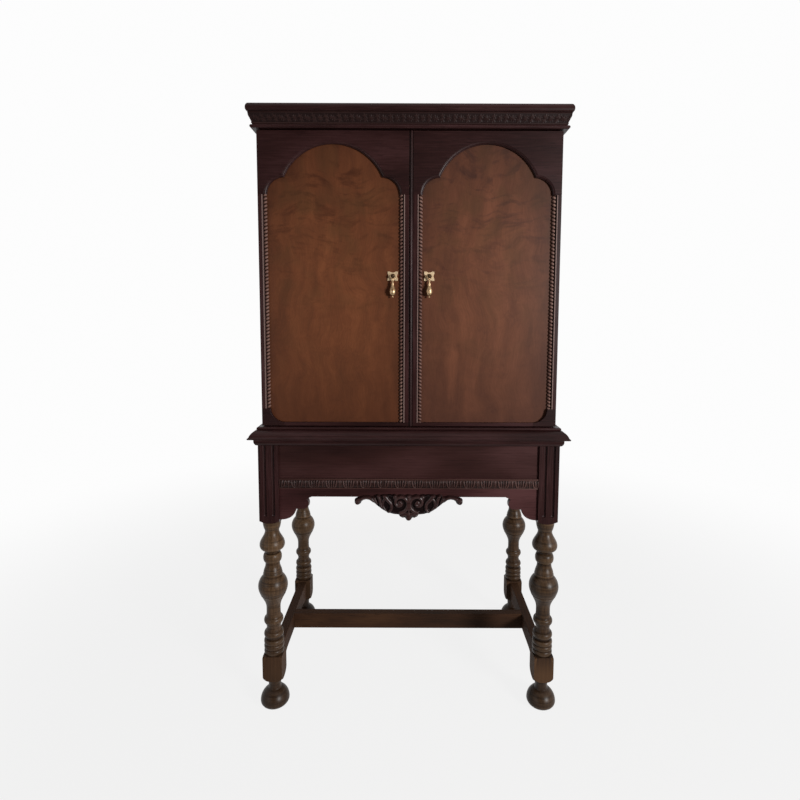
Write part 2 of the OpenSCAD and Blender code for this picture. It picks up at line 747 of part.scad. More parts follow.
shelf_z = z_case + board_t + shelf_up;
pin_ys = [y_case + pin_front, y_back - pin_back];

module shelf_pin_set(radius, deep) {
    x0 = half_w - side_t - shelf_pin_out;
    for (y = pin_ys) translate([x0, y, shelf_z - shelf_pin_r - wood_fit])
        rotate([0, 90, 0]) cylinder(h = shelf_pin_out + deep, r = radius);
}

module case_side_right() {
    x0 = half_w - side_t;
    color(dark) difference() {
        box([x0, y_case, z_case], [half_w, y_back, z_top]);
        box([x0 - 1, y_back - back_t, z_case - 1], [x0 + rabbet, y_back + 1, z_top + 1]);
        hinge_cut(y_case, 1);
        shelf_pin_set(shelf_pin_r + pin_fit, shelf_pin_in + wood_fit);
    }
}
module case_side_left() { mirror([1, 0, 0]) case_side_right(); }

module case_bottom() {
    x = half_w - side_t;
    color(inside) box([-x, y_case, z_case], [x, y_back - back_t, z_case + board_t]);
}

module case_top() {
    color(dark) box([-half_w, y_door, z_top], [half_w, y_back, z_mould]);
}

module back_panel() {
    x = half_w - side_t + rabbet - wood_fit;
    color(inside) box([-x, y_back - back_t, z_case], [x, y_back, z_top]);
}

module shelf() {
    x = half_w - side_t - shelf_gap;
    color(inside) box([-x, y_case + shelf_set_back, shelf_z],
        [x, y_back - back_t - shelf_gap, shelf_z + board_t]);
}

module shelf_pins() {
    color(brass) for (left = [false, true]) mirrored(left)
        shelf_pin_set(shelf_pin_r, shelf_pin_in);
}

// Cornice

// Bead round the edges of the top board, with a fillet over it
module cornice_bead() {
    r = cornice_bead_r;
    color(dark) difference() {
        moulded_board(concat(arc(cornice_band_out - 1, z_top + r, r, -90, 90, 12),
            [[cornice_band_out - 2, z_top + 2 * r + 0.1], [cornice_band_out - 2, z_mould]]));
        box([-half_w, y_door, z_top - 1], [half_w, y_back + 1, z_mould + 1]);
    }
}

// Carved moulding, mitred at the front corners and open at the back
module cornice_moulding() {
    inner = half_w + cornice_mould_out - cornice_rim;
    color(dark) difference() {
        moulded_board(concat([[cornice_band_out - 1, z_mould]],
            ease([cornice_band_out, z_mould + 2], [cornice_mould_out, z_cap - 8], 8),
            [[cornice_mould_out, z_cap - 1], [cornice_mould_out - 1, z_cap]]));
        box([-inner, y_door - cornice_mould_out + cornice_rim, z_mould - 1],
            [inner, y_back + 1, z_cap + 1]);
    }
}

// Top board with a full round edge, widest low down
module cornice_top() {
    widest = z_cap + cornice_top_h * 0.37;
    color(dark) moulded_board(concat(
        quarter([cornice_mould_out + 1, z_cap], [cornice_top_out, widest], false, 6),
        quarter([cornice_top_out, widest + 0.5], [cornice_top_out - 8, total_h], true, 8)));
}

// Hinges

// Knuckles and leaf of one side of the hinges: share 0 takes the two outer knuckles and
// share 1 the middle one; side is 1 for the case and -1 for the door
module hinge_leaf_set(side, share) {
    third = hinge_l / 3;
    own = share == 0 ? [0, 2] : [1];
    y0 = side > 0 ? y_case : y_slab_back - leaf_t;
    for (z = hinge_zs) difference() {
        union() {
            box([hinge_x - leaf_w, y0, z - hinge_l / 2], [leaf_in, y0 + leaf_t, z + hinge_l / 2]);
            for (k = own) {
                z0 = z - hinge_l / 2 + k * third + (k == 0 ? 0 : run_gap / 2);
                z1 = z - hinge_l / 2 + (k + 1) * third - (k == 2 ? 0 : run_gap / 2);
                box([leaf_in - 1, y0, z0], [hinge_x, y0 + leaf_t, z1]);
                translate([hinge_x, y_hinge, z0]) cylinder(h = z1 - z0, r = barrel_r);
            }
        }
        translate([hinge_x, y_hinge, z - hinge_l / 2 - 1])
            cylinder(h = hinge_l + 2, r = hinge_pin_r + pin_fit);
    }
}

module case_hinge_leaves() {
    color(brass) for (left = [false, true]) mirrored(left) hinge_leaf_set(1, 0);
}

module hinge_pins() {
    color(steel) for (left = [false, true]) mirrored(left) for (z = hinge_zs)
        translate([hinge_x, y_hinge, z]) {
            translate([0, 0, -hinge_l / 2]) cylinder(h = hinge_l, r = hinge_pin_r);
            for (s = [-1, 1]) translate([0, 0, s * (hinge_l + pin_head) / 2])
                cylinder(h = pin_head, r = barrel_r - 0.6, center = true);
        }
}

catch_x = door_x0 + bead_room + inner_flat;

module door_catches() {
    color(steel) for (left = [false, true]) mirrored(left)
        box([catch_x, y_case, z_top - catch_h], [catch_x + catch_w, y_case + catch_d, z_top]);
}

// Doors: each piece is drawn for the right door, whose strips start past the width b of
// its meeting bead and quirk, and is mirrored for the left door, where b is 0

function strip_x(b) = door_x0 + b;
function arch_x(b) = strip_x(b) + inner_flat + fillet_w + rope_w;

module door_board() {
    color(veneer) difference() {
        box([door_x0, y_slab, door_z0], [door_x1, y_slab_back, door_z1]);
        hinge_cut(y_slab_back, -1);
    }
}

// Cuts a round hole of radius r through the overlay, with an ovolo moulding along its edge
module moulded_hole(x, z, r, faces) {
    lip = 0.2 * ovolo_d;
    translate([x, y_door, z]) rotate([90, 0, 0]) rotate_extrude($fn = faces) polygon(concat(
        [[0, 1], [0, -overlay_t - 1], [r, -overlay_t - 1], [r, -ovolo_d]],
        quarter([r + 1, -ovolo_d], [r + ovolo_w, -lip], true, 5), [[r + ovolo_w, 1]]));
}

// Spandrel: its arched edge is a wide arc between two small ones
module spandrel(b) {
    half = (rope_x0 - arch_x(b)) / 2;
    mid = (rope_x0 + arch_x(b)) / 2;
    chord = half - lobe_r;
    r = (chord * chord + arch_rise * arch_rise) / (2 * arch_rise);
    color(dark) difference() {
        box([strip_x(b), y_door, arch_z], [door_x1, y_slab, door_z1]);
        moulded_hole(mid, arch_z + lobe_r + arch_rise - r, r, 128);
        for (s = [-1, 1]) moulded_hole(mid + s * chord, arch_z, lobe_r, 64);
    }
}

// Flat strip with a raised fillet on its inner side, from x0 to x1; dir points to the rope
module strip(x0, x1, dir, z0) {
    fillet_x = dir > 0 ? x1 - fillet_w : x0;
    color(dark) {
        box([x0, y_door, z0], [x1, y_slab, arch_z]);
        box([fillet_x, y_door - fillet_proud, z0], [fillet_x + fillet_w, y_slab, arch_z]);
    }
}

module outer_strip() { strip(rope_x1, door_x1, -1, bracket_z); }
module inner_strip(b) {
    strip(strip_x(b), arch_x(b) - rope_w, 1, door_z0 + bottom_strip_h);
}

module rope(x, z0) {
    r = rope_w / 2;
    translate([x + r, 0, z0]) linear_extrude(arch_z - z0)
        polygon(concat([[-r, y_slab]], arc(0, y_slab - rope_h + r, r, 180, 360, 12),
            [[r, y_slab]]));
}

module ropes(b) {
    color(dark) {
        rope(arch_x(b) - rope_w, door_z0 + bottom_strip_h);
        rope(rope_x0, bracket_z);
    }
}

module bottom_strip(b) {
    color(dark) box([strip_x(b), y_door, door_z0],
        [rope_x0 - corner_r, y_slab, door_z0 + bottom_strip_h]);
}

// Block that rounds the panel's lower outer corner
module corner_block() {
    x0 = rope_x0 - corner_r;
    color(dark) upright_plate(y_door, y_slab) difference() {
        translate([x0, door_z0]) square([door_x1 - x0, bracket_z - door_z0]);
        translate([x0, bracket_z]) circle(corner_r);
    }
}

module strike() {
    color(steel) box([catch_x + 2, y_slab_back, door_z1 - catch_h + 2],
        [catch_x + catch_w - 2, y_slab_back + 1.2, door_z1 - 2]);
}

// Round bead on the right door's meeting edge, with a sunk quirk beside it
module meeting_bead() {
    r = bead_w / 2;
    front = y_door - bead_proud + r;
    color(dark) translate([door_x0, 0, door_z0]) linear_extrude(door_z1 - door_z0) {
        translate([r, front]) circle(r);
        translate([0, front]) square([bead_w, y_slab - front]);
        translate([bead_w - 0.1, y_door + quirk_d]) square([quirk_w + 0.1, overlay_t - quirk_d]);
    }
}

// Backplate with hollow sides and a boss, and a ball-headed post bored for the drop's pin
module pull_plate(b) {
    x = arch_x(b) + pull_in;
    hollow = 0.16 * plate_w;
    y_plate = y_slab - plate_t;
    color(brass) translate([x, 0, pull_z]) difference() {
        union() {
            upright_plate(y_plate, y_slab) difference() {
                square([plate_w, plate_h], center = true);
                for (s = [-1, 1]) {
                    translate([0, s * (plate_h / 2 + 2 * hollow)]) circle(2.6 * hollow);
                    translate([s * (plate_w / 2 + 2 * hollow), 0]) circle(2.5 * hollow);
                }
            }
            upright_plate(y_plate - 0.4 * plate_t, y_plate) circle(0.24 * plate_w);
            upright_plate(y_pin + 0.6 * pull_head_r, y_plate) circle(pull_post_r);
            translate([0, y_pin, 0]) rotate(-45) sphere(pull_head_r);
        }
        translate([0, y_pin, 0]) rotate([0, 90, 0])
            cylinder(h = plate_w, r = drop_pin_r + pin_fit, center = true);
    }
}

// Turned drop on a yoke whose cross pin runs through the post's head
module pull_drop(b) {
    x = arch_x(b) + pull_in;
    r = drop_r;
    l = drop_l;
    eye_w = 1.2 * yoke_r;
    color(brass) translate([x, y_pin, pull_z]) {
        rotate([0, 90, 0]) cylinder(h = 2 * yoke_x + eye_w, r = drop_pin_r, center = true);
        for (s = [-1, 1]) translate([s * yoke_x, 0, 0]) rotate([0, 90, 0])
            cylinder(h = eye_w, r = 2 * yoke_r, center = true);
        intersection() {
            rotate([90, 0, 0]) rotate_extrude() translate([yoke_x, 0]) circle(yoke_r);
            box([-2 * yoke_x, -yoke_x, -2 * yoke_x], [2 * yoke_x, yoke_x, 0]);
        }
        rotate_extrude() polygon(concat([[0, -l]], ring(-l, -0.925 * l, 0.6, 2.2, 8),
            quarter([1.6, -0.915 * l], [r, -0.725 * l], false, 6),
            ease([r, -0.705 * l], [3.2, -0.37 * l], 8), ease([3, -0.36 * l], [2.2, -0.26 * l], 4),
            ring(-0.245 * l, -0.18 * l, 2, 3.3, 6), [[2, -0.16 * l], [2, -yoke_x], [0, -yoke_x]]));
    }
}

module left_door_board() { mirror([1, 0, 0]) door_board(); }
module left_spandrel() { mirror([1, 0, 0]) spandrel(0); }
module left_outer_strip() { mirror([1, 0, 0]) outer_strip(); }
module left_inner_strip() { mirror([1, 0, 0]) inner_strip(0); }
module left_ropes() { mirror([1, 0, 0]) ropes(0); }
module left_bottom_strip() { mirror([1, 0, 0]) bottom_strip(0); }
module left_corner() { mirror([1, 0, 0]) corner_block(); }
module left_hinge_leaves() { color(brass) mirror([1, 0, 0]) hinge_leaf_set(-1, 1); }
module left_strike() { mirror([1, 0, 0]) strike(); }
module left_pull_plate() { mirror([1, 0, 0]) pull_plate(0); }
module left_pull_drop() { mirror([1, 0, 0]) pull_drop(0); }

module right_door_board() { door_board(); }
module right_spandrel() { spandrel(bead_room); }
module right_outer_strip() { outer_strip(); }
module right_inner_strip() { inner_strip(bead_room); }
module right_ropes() { ropes(bead_room); }
module right_bottom_strip() { bottom_strip(bead_room); }
module right_corner() { corner_block(); }
module right_hinge_leaves() { color(brass) hinge_leaf_set(-1, 1); }
module right_strike() { strike(); }
module right_pull_plate() { pull_plate(bead_room); }
module right_pull_drop() { pull_drop(bead_room); }

leg_front_left();
leg_front_right();
leg_back_left();
leg_back_right();
post_front_left();
post_front_right();
post_back_left();
post_back_right();
side_stretcher_left();
side_stretcher_right();
cross_stretcher();
frieze_panel();
frieze_moulding();
apron();
apron_crest();
side_rail_left();
side_rail_right();
back_rail();
glue_blocks();
waist_board();
base_strip();
case_bottom();
case_side_left();
case_side_right();
case_top();
back_panel();
shelf();
shelf_pins();
cornice_bead();
cornice_moulding();
cornice_top();
case_hinge_leaves();
hinge_pins();
door_catches();
left_door_board();
left_spandrel();
left_outer_strip();
left_inner_strip();
left_ropes();
left_bottom_strip();
left_corner();
left_hinge_leaves();
left_strike();
left_pull_plate();
left_pull_drop();
right_door_board();
right_spandrel();
right_outer_strip();
right_inner_strip();
right_ropes();
right_bottom_strip();
right_corner();
right_hinge_leaves();
right_strike();
right_pull_plate();
right_pull_drop();
meeting_bead();
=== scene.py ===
# %% [markdown]
# # A wine cabinet on a turned stand
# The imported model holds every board, turned leg, hinge and door at its real size. This
# lesson dresses it: each wood and metal gets a finish worked out from real sizes, and the
# carved and twisted mouldings are built as meshes over the plain CAD pieces.

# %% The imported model
import json
import math

import bmesh
import bpy
import numpy as np
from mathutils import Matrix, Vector


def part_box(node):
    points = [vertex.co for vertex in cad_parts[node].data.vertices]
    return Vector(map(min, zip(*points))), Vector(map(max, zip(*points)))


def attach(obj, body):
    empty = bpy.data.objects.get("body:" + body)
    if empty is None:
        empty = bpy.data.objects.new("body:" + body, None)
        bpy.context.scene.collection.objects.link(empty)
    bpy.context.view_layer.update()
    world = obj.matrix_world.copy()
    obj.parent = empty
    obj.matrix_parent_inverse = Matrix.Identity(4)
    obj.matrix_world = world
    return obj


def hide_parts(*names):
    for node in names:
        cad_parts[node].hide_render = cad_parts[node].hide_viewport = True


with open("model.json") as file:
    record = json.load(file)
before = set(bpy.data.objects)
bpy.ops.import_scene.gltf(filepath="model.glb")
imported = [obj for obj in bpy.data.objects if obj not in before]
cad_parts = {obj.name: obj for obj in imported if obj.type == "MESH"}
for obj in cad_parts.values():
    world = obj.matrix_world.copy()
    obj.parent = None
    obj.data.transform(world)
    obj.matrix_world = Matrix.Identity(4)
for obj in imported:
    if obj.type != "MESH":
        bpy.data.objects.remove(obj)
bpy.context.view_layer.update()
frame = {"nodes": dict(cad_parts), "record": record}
nodes = frame["nodes"]

# %% [markdown]
# ## Small helpers
# Furniture is measured in millimetres and Blender works in metres, so one value turns the
# one into the other. Paint and wood colours are easiest to read as hex codes, as they look
# on a screen. Blender mixes light in linear values, so one function converts them. A
# finish is a tree of nodes, and one more function adds a node and joins it to the others.

# %% Millimetres, colours and shader nodes
MM = 0.001


def linear(hex_code):
    """A hex colour as it looks on a screen, turned to linear RGBA."""
    parts = [int(hex_code[i:i + 2], 16) / 255 for i in (1, 3, 5)]
    return (*[c / 12.92 if c < 0.04045 else ((c + 0.055) / 1.055) ** 2.4 for c in parts], 1.0)


def add(tree, kind, links=None, ramp=None, **settings):
    """Adds a shader node. Settings go on the node, links on its inputs by name or number:
    a plain value, an output, or a node, which stands for its first output."""
    node = tree.nodes.new("ShaderNode" + kind)
    for key, value in settings.items():
        setattr(node, key, value)
    if ramp:
        stops = node.color_ramp.elements
        while len(stops) < len(ramp):
            stops.new(0.5)
        for stop, (place, colour) in zip(stops, ramp):
            stop.position = place
            stop.color = linear(colour)
    for key, value in (links or {}).items():
        if isinstance(value, bpy.types.Node):
            value = value.outputs[0]
        if isinstance(value, bpy.types.NodeSocket):
            tree.links.new(value, node.inputs[key])
        else:
            node.inputs[key].default_value = value
    return node


def empty_material(name):
    material = bpy.data.materials.new(name)
    material.use_nodes = True
    material.node_tree.nodes.clear()
    return material, material.node_tree


print("brown #6a452f in linear light:", [round(c, 3) for c in linear("#6a452f")])

# %% [markdown]
# ## Camera
# The picture was taken from chest height, about 1.35 m in front of the legs, looking a
# little down. The lens follows from how much smaller the back legs look than the front
# ones. A small shift stands for the crop, because the optical axis isn't in the middle.

# %% The camera
SENSOR = 36
PICTURE = 800
FOCAL_PX = 523.6
AXIS_PX = (409.3, 356.8)
CAMERA_PLACE = (0, -1552.4 * MM, 1076.7 * MM)
PITCH_DOWN = 4.91
ROLL = -0.2

camera = bpy.data.objects.new("camera", bpy.data.cameras.new("camera"))
bpy.context.scene.collection.objects.link(camera)
camera.data.sensor_width = SENSOR
camera.data.lens = SENSOR * FOCAL_PX / PICTURE
camera.data.shift_x = (PICTURE / 2 - AXIS_PX[0]) / PICTURE
camera.data.shift_y = (AXIS_PX[1] - PICTURE / 2) / PICTURE
camera.location = CAMERA_PLACE
camera.rotation_euler = (math.radians(90 - PITCH_DOWN), math.radians(ROLL), 0)
bpy.context.scene.camera = camera
bpy.context.scene.view_settings.view_transform = "Standard"
print("lens in mm:", round(camera.data.lens, 2))

# %% [markdown]
# ## Floor
# The cabinet stands on a matt painted floor in a white studio. The floor takes a soft
# shadow near the feet and fades into the white of the background further out. The camera
# and the reflections see it white, but the light that it throws back is that of grey paint.

# %% The floor
FLOOR_WIDE = 24
FLOOR_COLOUR = "#a3a19e"
WHITE_SEEN = 0.98
WHITE_NEAR, WHITE_FAR = 0.87, 1.0
FADE_START, FADE_END = 0.8, 2.6


def seen_directly(tree):
    """1 for camera, glossy and transmission rays, and 0 for the rays that light things."""
    ray = add(tree, "LightPath").outputs
    seen = add(tree, "Math", {0: ray["Is Camera Ray"], 1: ray["Is Glossy Ray"]},
               operation="MAXIMUM")
    return add(tree, "Math", {0: seen, 1: ray["Is Transmission Ray"]}, operation="MAXIMUM")


def floor_material():
    """Matt paint that fades into the white of the background away from the cabinet."""
    material, tree = empty_material("matt_painted_floor")
    paint = add(tree, "BsdfDiffuse", {"Color": linear(FLOOR_COLOUR)})
    white = add(tree, "Emission", {"Strength": WHITE_SEEN})
    away = add(tree, "VectorMath", {0: add(tree, "TexCoord").outputs["Object"]},
               operation="LENGTH")
    share = add(tree, "MapRange", {"Value": away.outputs["Value"], "From Min": FADE_START,
                                   "From Max": FADE_END, "To Min": WHITE_NEAR,
                                   "To Max": WHITE_FAR}, interpolation_type="SMOOTHSTEP")
    share = add(tree, "Math", {0: share, 1: seen_directly(tree)}, operation="MULTIPLY")
    add(tree, "OutputMaterial", {"Surface": add(tree, "MixShader", {0: share, 1: paint,
                                                                    2: white})})
    return material


def stage_plane(name, corners, material):
    mesh = bpy.data.meshes.new(name)
    mesh.from_pydata(corners, [], [(0, 1, 2, 3)])
    mesh.materials.append(material)
    plane = bpy.data.objects.new(name, mesh)
    bpy.context.scene.collection.objects.link(plane)
    return plane


half = FLOOR_WIDE / 2
stage_plane("floor", [(-half, -half, 0), (half, -half, 0), (half, half, 0), (-half, half, 0)],
            floor_material())
print("floor in metres:", FLOOR_WIDE)

# %% [markdown]
# ## Dark felt round the camera
# Dark polished wood shows what surrounds it. In an all-white room it looks grey, so a
# photographer hangs dark felt behind the camera and lays some on the floor in front of the
# piece. The doors reflect the felt and stay deep, while rounded edges still catch the
# white sides. The felt throws no shadow, and the camera looks through it.

# %% The curtain and its skirt on the floor
FELT_COLOUR = "#232120"
CURTAIN_WIDE, CURTAIN_HIGH, CURTAIN_Y = 8.0, 4.6, -3.6
SKIRT_Y, SKIRT_Z = -0.85, 0.004


def felt_material():
    """Dark felt that is only there from its front, so that it hides no floor."""
    material, tree = empty_material("dark_felt")
    cloth = add(tree, "BsdfPrincipled", {"Base Color": linear(FELT_COLOUR), "Roughness": 0.95})
    both = add(tree, "MixShader", {0: add(tree, "NewGeometry").outputs["Backfacing"],
                                   1: cloth, 2: add(tree, "BsdfTransparent")})
    add(tree, "OutputMaterial", {"Surface": both})
    return material


felt = felt_material()
half = CURTAIN_WIDE / 2
for name, corners in {
    "curtain": [(-half, CURTAIN_Y, CURTAIN_HIGH), (half, CURTAIN_Y, CURTAIN_HIGH),
                (half, CURTAIN_Y, 0), (-half, CURTAIN_Y, 0)],
    "curtain_skirt": [(-half, CURTAIN_Y, SKIRT_Z), (half, CURTAIN_Y, SKIRT_Z),
                      (half, SKIRT_Y, SKIRT_Z), (-half, SKIRT_Y, SKIRT_Z)],
}.items():
    plane = stage_plane(name, corners, felt)
    plane.visible_camera = False
    plane.visible_shadow = False
print("curtain at y =", CURTAIN_Y, "and its skirt to y =", SKIRT_Y)

# %% [markdown]
# ## Sky and lamps
# One large soft lamp at the right, low and in front, models the turned legs and throws the
# shadows to the left. A weak, wider one at the left keeps that side readable, and the sky
# adds a little light from everywhere.

# %% The sky and the lamps
SKY_LIGHT = 0.2
LAMPS = {
    "key_right": {"place": (2.35, -2.75, 1.35), "size": 0.9, "watts": 140},
    "fill_left": {"place": (-2.2, -2.7, 0.9), "size": 2.0, "watts": 17},
}
LAMP_AIM = Vector((0, 0, 0.85))

world = bpy.data.worlds.new("white_studio")
bpy.context.scene.world = world
world.use_nodes = True
sky = world.node_tree
sky.nodes.clear()
level = add(sky, "MapRange", {"Value": seen_directly(sky), "To Min": SKY_LIGHT,
                              "To Max": WHITE_SEEN})
glow = add(sky, "Background", {"Color": (1.0, 1.0, 1.0, 1.0), "Strength": level})
add(sky, "OutputWorld", {"Surface": glow})

for name, lamp in LAMPS.items():
    light = bpy.data.lights.new(name, "AREA")
    light.shape = "DISK"
    light.size = lamp["size"]
    light.energy = lamp["watts"]
    holder = bpy.data.objects.new(name, light)
    holder.location = lamp["place"]
    aim = LAMP_AIM - Vector(lamp["place"])
    holder.rotation_euler = aim.to_track_quat("-Z", "Y").to_euler()
    bpy.context.scene.collection.objects.link(holder)
print("lamps:", ", ".join(LAMPS))

# %% [markdown]
# ## Wood
# Walnut is brown because of growth rings, long fibres and short dark pores that all run
# along the board. A solid texture does the same: rings round a line beside the board, and
# noise that is stretched along the grain. Because it is solid, a turned leg shows the
# rings as a lathe would cut them. Each piece reads its own "board" offset, so that no two
# pieces are cut from the same place. Real fibres and pores are 0.1 to 0.3 mm wide. They are
# drawn about ten times as wide, because finer ones can't show at this distance.

# %% The figure of walnut
AXES = {"x": 0, "y": 1, "z": 2}
WAVE_UNIT = 0.314  # a wave texture of scale 1 repeats after this many metres
FIBRE, PORE, CLOUD = 2.6 * MM, 1.9 * MM, 90 * MM
FIBRE_SQUEEZE, CLOUD_SQUEEZE = 0.05, 0.3  # scales along the grain, so fibres come out long
FIGURE_SUM = 1.36  # the weights of rings, fibres and clouds add up to this


def along(axis, across, lengthwise):
    """A vector that is one number across the grain and another along it."""
    vector = [across] * 3
    vector[AXES[axis]] = lengthwise
    return tuple(vector)


def places(tree):
    """Object coordinates, and the same moved by the piece's own offset."""
    place = add(tree, "TexCoord").outputs["Object"]
    own = add(tree, "Attribute", attribute_type="OBJECT", attribute_name="board")
    return place, add(tree, "VectorMath", {0: place, 1: own.outputs["Vector"]})


def walnut_figure(tree, board, axis, tones, ring, rings_show, grain):
    """The stained figure, and its fibres and pores on their own."""
    squeezed, clouded = [
        add(tree, "VectorMath", {0: board, 1: along(axis, 1, scale)}, operation="MULTIPLY")
        for scale in (FIBRE_SQUEEZE, CLOUD_SQUEEZE)]
    rings = add(tree, "TexWave",
                {"Vector": squeezed, "Scale": WAVE_UNIT / (ring * MM), "Distortion": 9.0,
                 "Detail": 3.0, "Detail Scale": 0.35, "Detail Roughness": 0.6},
                wave_type="RINGS", rings_direction=axis.upper(), wave_profile="SAW")
    fibres = add(tree, "TexNoise", {"Vector": squeezed, "Scale": 1 / FIBRE, "Detail": 4.0,
                                    "Roughness": 0.65})
    clouds = add(tree, "TexNoise", {"Vector": clouded, "Scale": 1 / CLOUD, "Detail": 2.0})
    vessels = add(tree, "TexNoise", {"Vector": squeezed, "Scale": 1 / PORE, "Detail": 1.0})
    share = 0.0
    for pattern, weight in ((rings.outputs["Fac"], rings_show), (fibres, grain),
                            (clouds, FIGURE_SUM - rings_show - grain)):
        share = add(tree, "Math", {0: pattern, 1: weight, 2: share}, operation="MULTIPLY_ADD")
    stain = add(tree, "ValToRGB", {"Fac": share},
                ramp=[(0.42, tones[0]), (0.66, tones[1]), (0.92, tones[2])])
    return stain, fibres, vessels


print("a ring of 7 mm needs a wave scale of", round(WAVE_UNIT / (7 * MM), 1))

# %% [markdown]
# ## Wear, dirt, lathe rings and painted light and shade on wood
# Polish is thin on corners and thick in hollows, so corners turn light and hollows dark;
# the light corners are also a painted highlight, and the dark hollows a painted shade. A
# lathe leaves fine rings round a leg, but not on its square block, which was planed and
# stays redder and duller. The legs are painted darker near the floor: painted shade, with
# a little dirt.
# Each of these lies over the wood as a layer: a mask that says where, and a colour.

# %% Layers over the wood
LATHE_LINE = 4.5 * MM
BLOCK_MIDDLE, BLOCK_HALF = 0.1165, 0.0355  # the square block of a leg, above the floor
BLOCK_TINT = (0.9, 0.74, 0.62, 1)
# painted shade near the floor, with a little dirt: the height where it ends, and its colour
DIRT_AND_SHADE_TOP, FOOT_DIRT_AND_SHADE = 0.5, "#1d0f06"


def rubbed_and_highlit_corners(tree, wear_and_highlight, wear_and_highlight_share, dark):
    """Pointiness is 0.5 on flat wood, less in a hollow and more on a corner."""
    point = add(tree, "NewGeometry").outputs["Pointiness"]
    # corners painted lighter, wear with a painted highlight; hollows darker, thick polish with
    # painted shade
    rub = add(tree, "MapRange", {"Value": point, "From Min": 0.5, "From Max": 0.56,
                                 "To Max": wear_and_highlight_share})
    hollow = add(tree, "MapRange", {"Value": point, "From Min": 0.42, "From Max": 0.5,
                                    "To Min": 0.7, "To Max": 0.0})
    return (rub, linear(wear_and_highlight)), (hollow, linear(dark))


def rubbed_and_highlit_arris(tree, place, wear_and_highlight):
    """One light line, partly wear and partly a painted highlight, where the x of a place is
    that of the piece's own arris.
    """
    line = add(tree, "Attribute", attribute_type="OBJECT", attribute_name="arris")
    across = add(tree, "SeparateXYZ", {0: place}).outputs["X"]
    off = add(tree, "Math", {0: across, 1: line.outputs["Fac"]}, operation="SUBTRACT")
    off = add(tree, "Math", {0: off}, operation="ABSOLUTE")
    rub = add(tree, "MapRange", {"Value": off, "From Min": 0.8 * MM, "From Max": 1.8 * MM,
                                 "To Min": 1.0, "To Max": 0.0})
    return rub, linear(wear_and_highlight)


def turned_legs(tree, board, height, axis, lines, dark):
    """Lathe rings all over but on the square block, whose own layer tints it."""
    rings = add(tree, "VectorMath", {0: board, 1: along(axis, 0.03, 1)}, operation="MULTIPLY")
    rings = add(tree, "TexNoise", {"Vector": rings, "Scale": 1 / LATHE_LINE, "Detail": 2.0})
    cut = add(tree, "MapRange", {"Value": rings, "From Min": 0.46, "From Max": 0.66,
                                 "To Max": lines})
    block = add(tree, "Math", {0: height, 1: BLOCK_MIDDLE, 2: BLOCK_HALF}, operation="COMPARE")
    cut = add(tree, "Math", {0: cut, 1: block}, operation="SUBTRACT", use_clamp=True)
    return (cut, linear(dark)), (block, BLOCK_TINT, "MULTIPLY")


def dirt_and_shade_at_foot(tree, height, share):
    # Painted shade near the floor, with a little dirt: darker towards the bottom of the leg.
    fade = add(tree, "MapRange", {"Value": height, "From Min": 0.0, "From Max": DIRT_AND_SHADE_TOP,
                                  "To Min": share, "To Max": 0.0},
               interpolation_type="SMOOTHSTEP")
    return fade, linear(FOOT_DIRT_AND_SHADE)


print("the block of a leg is", round(2 * BLOCK_HALF / MM), "mm high")

# %% [markdown]
# ## One recipe for every walnut
# All the woods but the veneer are walnut under stain and lacquer. They differ in tone, in
# gloss and in the layers that they carry, so one recipe with a few settings makes them
# all. The gloss follows the fibres, and the pores lie a little deeper than the wood.

# %% Walnut
WOOD_IOR = 1.5
BLOCK_MATT = 0.36


def surface(tree, colour, layers, gloss, relief, strength, deep, plain):
    """Lays (mask, colour, blend) layers over a colour and joins them to a shader."""
    for mask, over, *blend in layers:
        colour = add(tree, "Mix", {"Factor": mask, 6: colour, 7: over}, data_type="RGBA",
                     blend_type=blend[0] if blend else "MIX").outputs[2]
    dent = add(tree, "Bump", {"Height": relief, "Strength": strength, "Distance": deep})
    shader = add(tree, "BsdfPrincipled", {"Base Color": colour, "Roughness": gloss,
                                          "Normal": dent, **plain})
    add(tree, "OutputMaterial", {"Surface": shader})


def walnut(name, tones, axis, ring=7, rough=0.36, shine=0.16, rings_show=0.08, grain=0.45,
           pores=0.6, wear_and_highlight=None, arris=None, lathe=0.0, carved=None, dirt_and_shade=0.0):
    """Stained walnut. Ring is a width in mm, and tones run from dark to light."""
    material, tree = empty_material(name)
    place, board = places(tree)
    stain, fibres, vessels = walnut_figure(tree, board, axis, tones, ring, rings_show, grain)
    gloss = add(tree, "MapRange", {"Value": fibres, "To Min": rough - 0.06,
                                   "To Max": rough + 0.1})
    pore = add(tree, "MapRange", {"Value": vessels, "From Min": 0.6, "From Max": 0.72,
                                  "To Max": pores})
    layers = [(pore, linear(tones[0]))]
    if wear_and_highlight:
        layers += rubbed_and_highlit_corners(tree, *wear_and_highlight, tones[0])
    if arris:
        layers.append(rubbed_and_highlit_arris(tree, place, arris))
    if lathe:
        height = add(tree, "SeparateXYZ", {0: place}).outputs["Z"]
        cut, block = turned_legs(tree, board, height, axis, lathe, tones[0])
        layers += [cut, block, dirt_and_shade_at_foot(tree, height, dirt_and_shade)]
        gloss = add(tree, "Math", {0: block[0], 1: BLOCK_MATT, 2: gloss},
                    operation="MULTIPLY_ADD")
    # the carved ground is painted darker: painted shade, with a darker stain
    if carved:
        ground = add(tree, "Attribute", attribute_name="hollow")
        layers.append((ground.outputs["Fac"], linear(carved)))
    relief = add(tree, "Math", {0: fibres, 1: pore}, operation="SUBTRACT")
    surface(tree, stain, layers, gloss, relief, 0.25, 0.15 * MM,
            {"IOR": WOOD_IOR, "Specular IOR Level": shine})
    return material


print("walnut has an index of refraction of", WOOD_IOR, "under its lacquer")

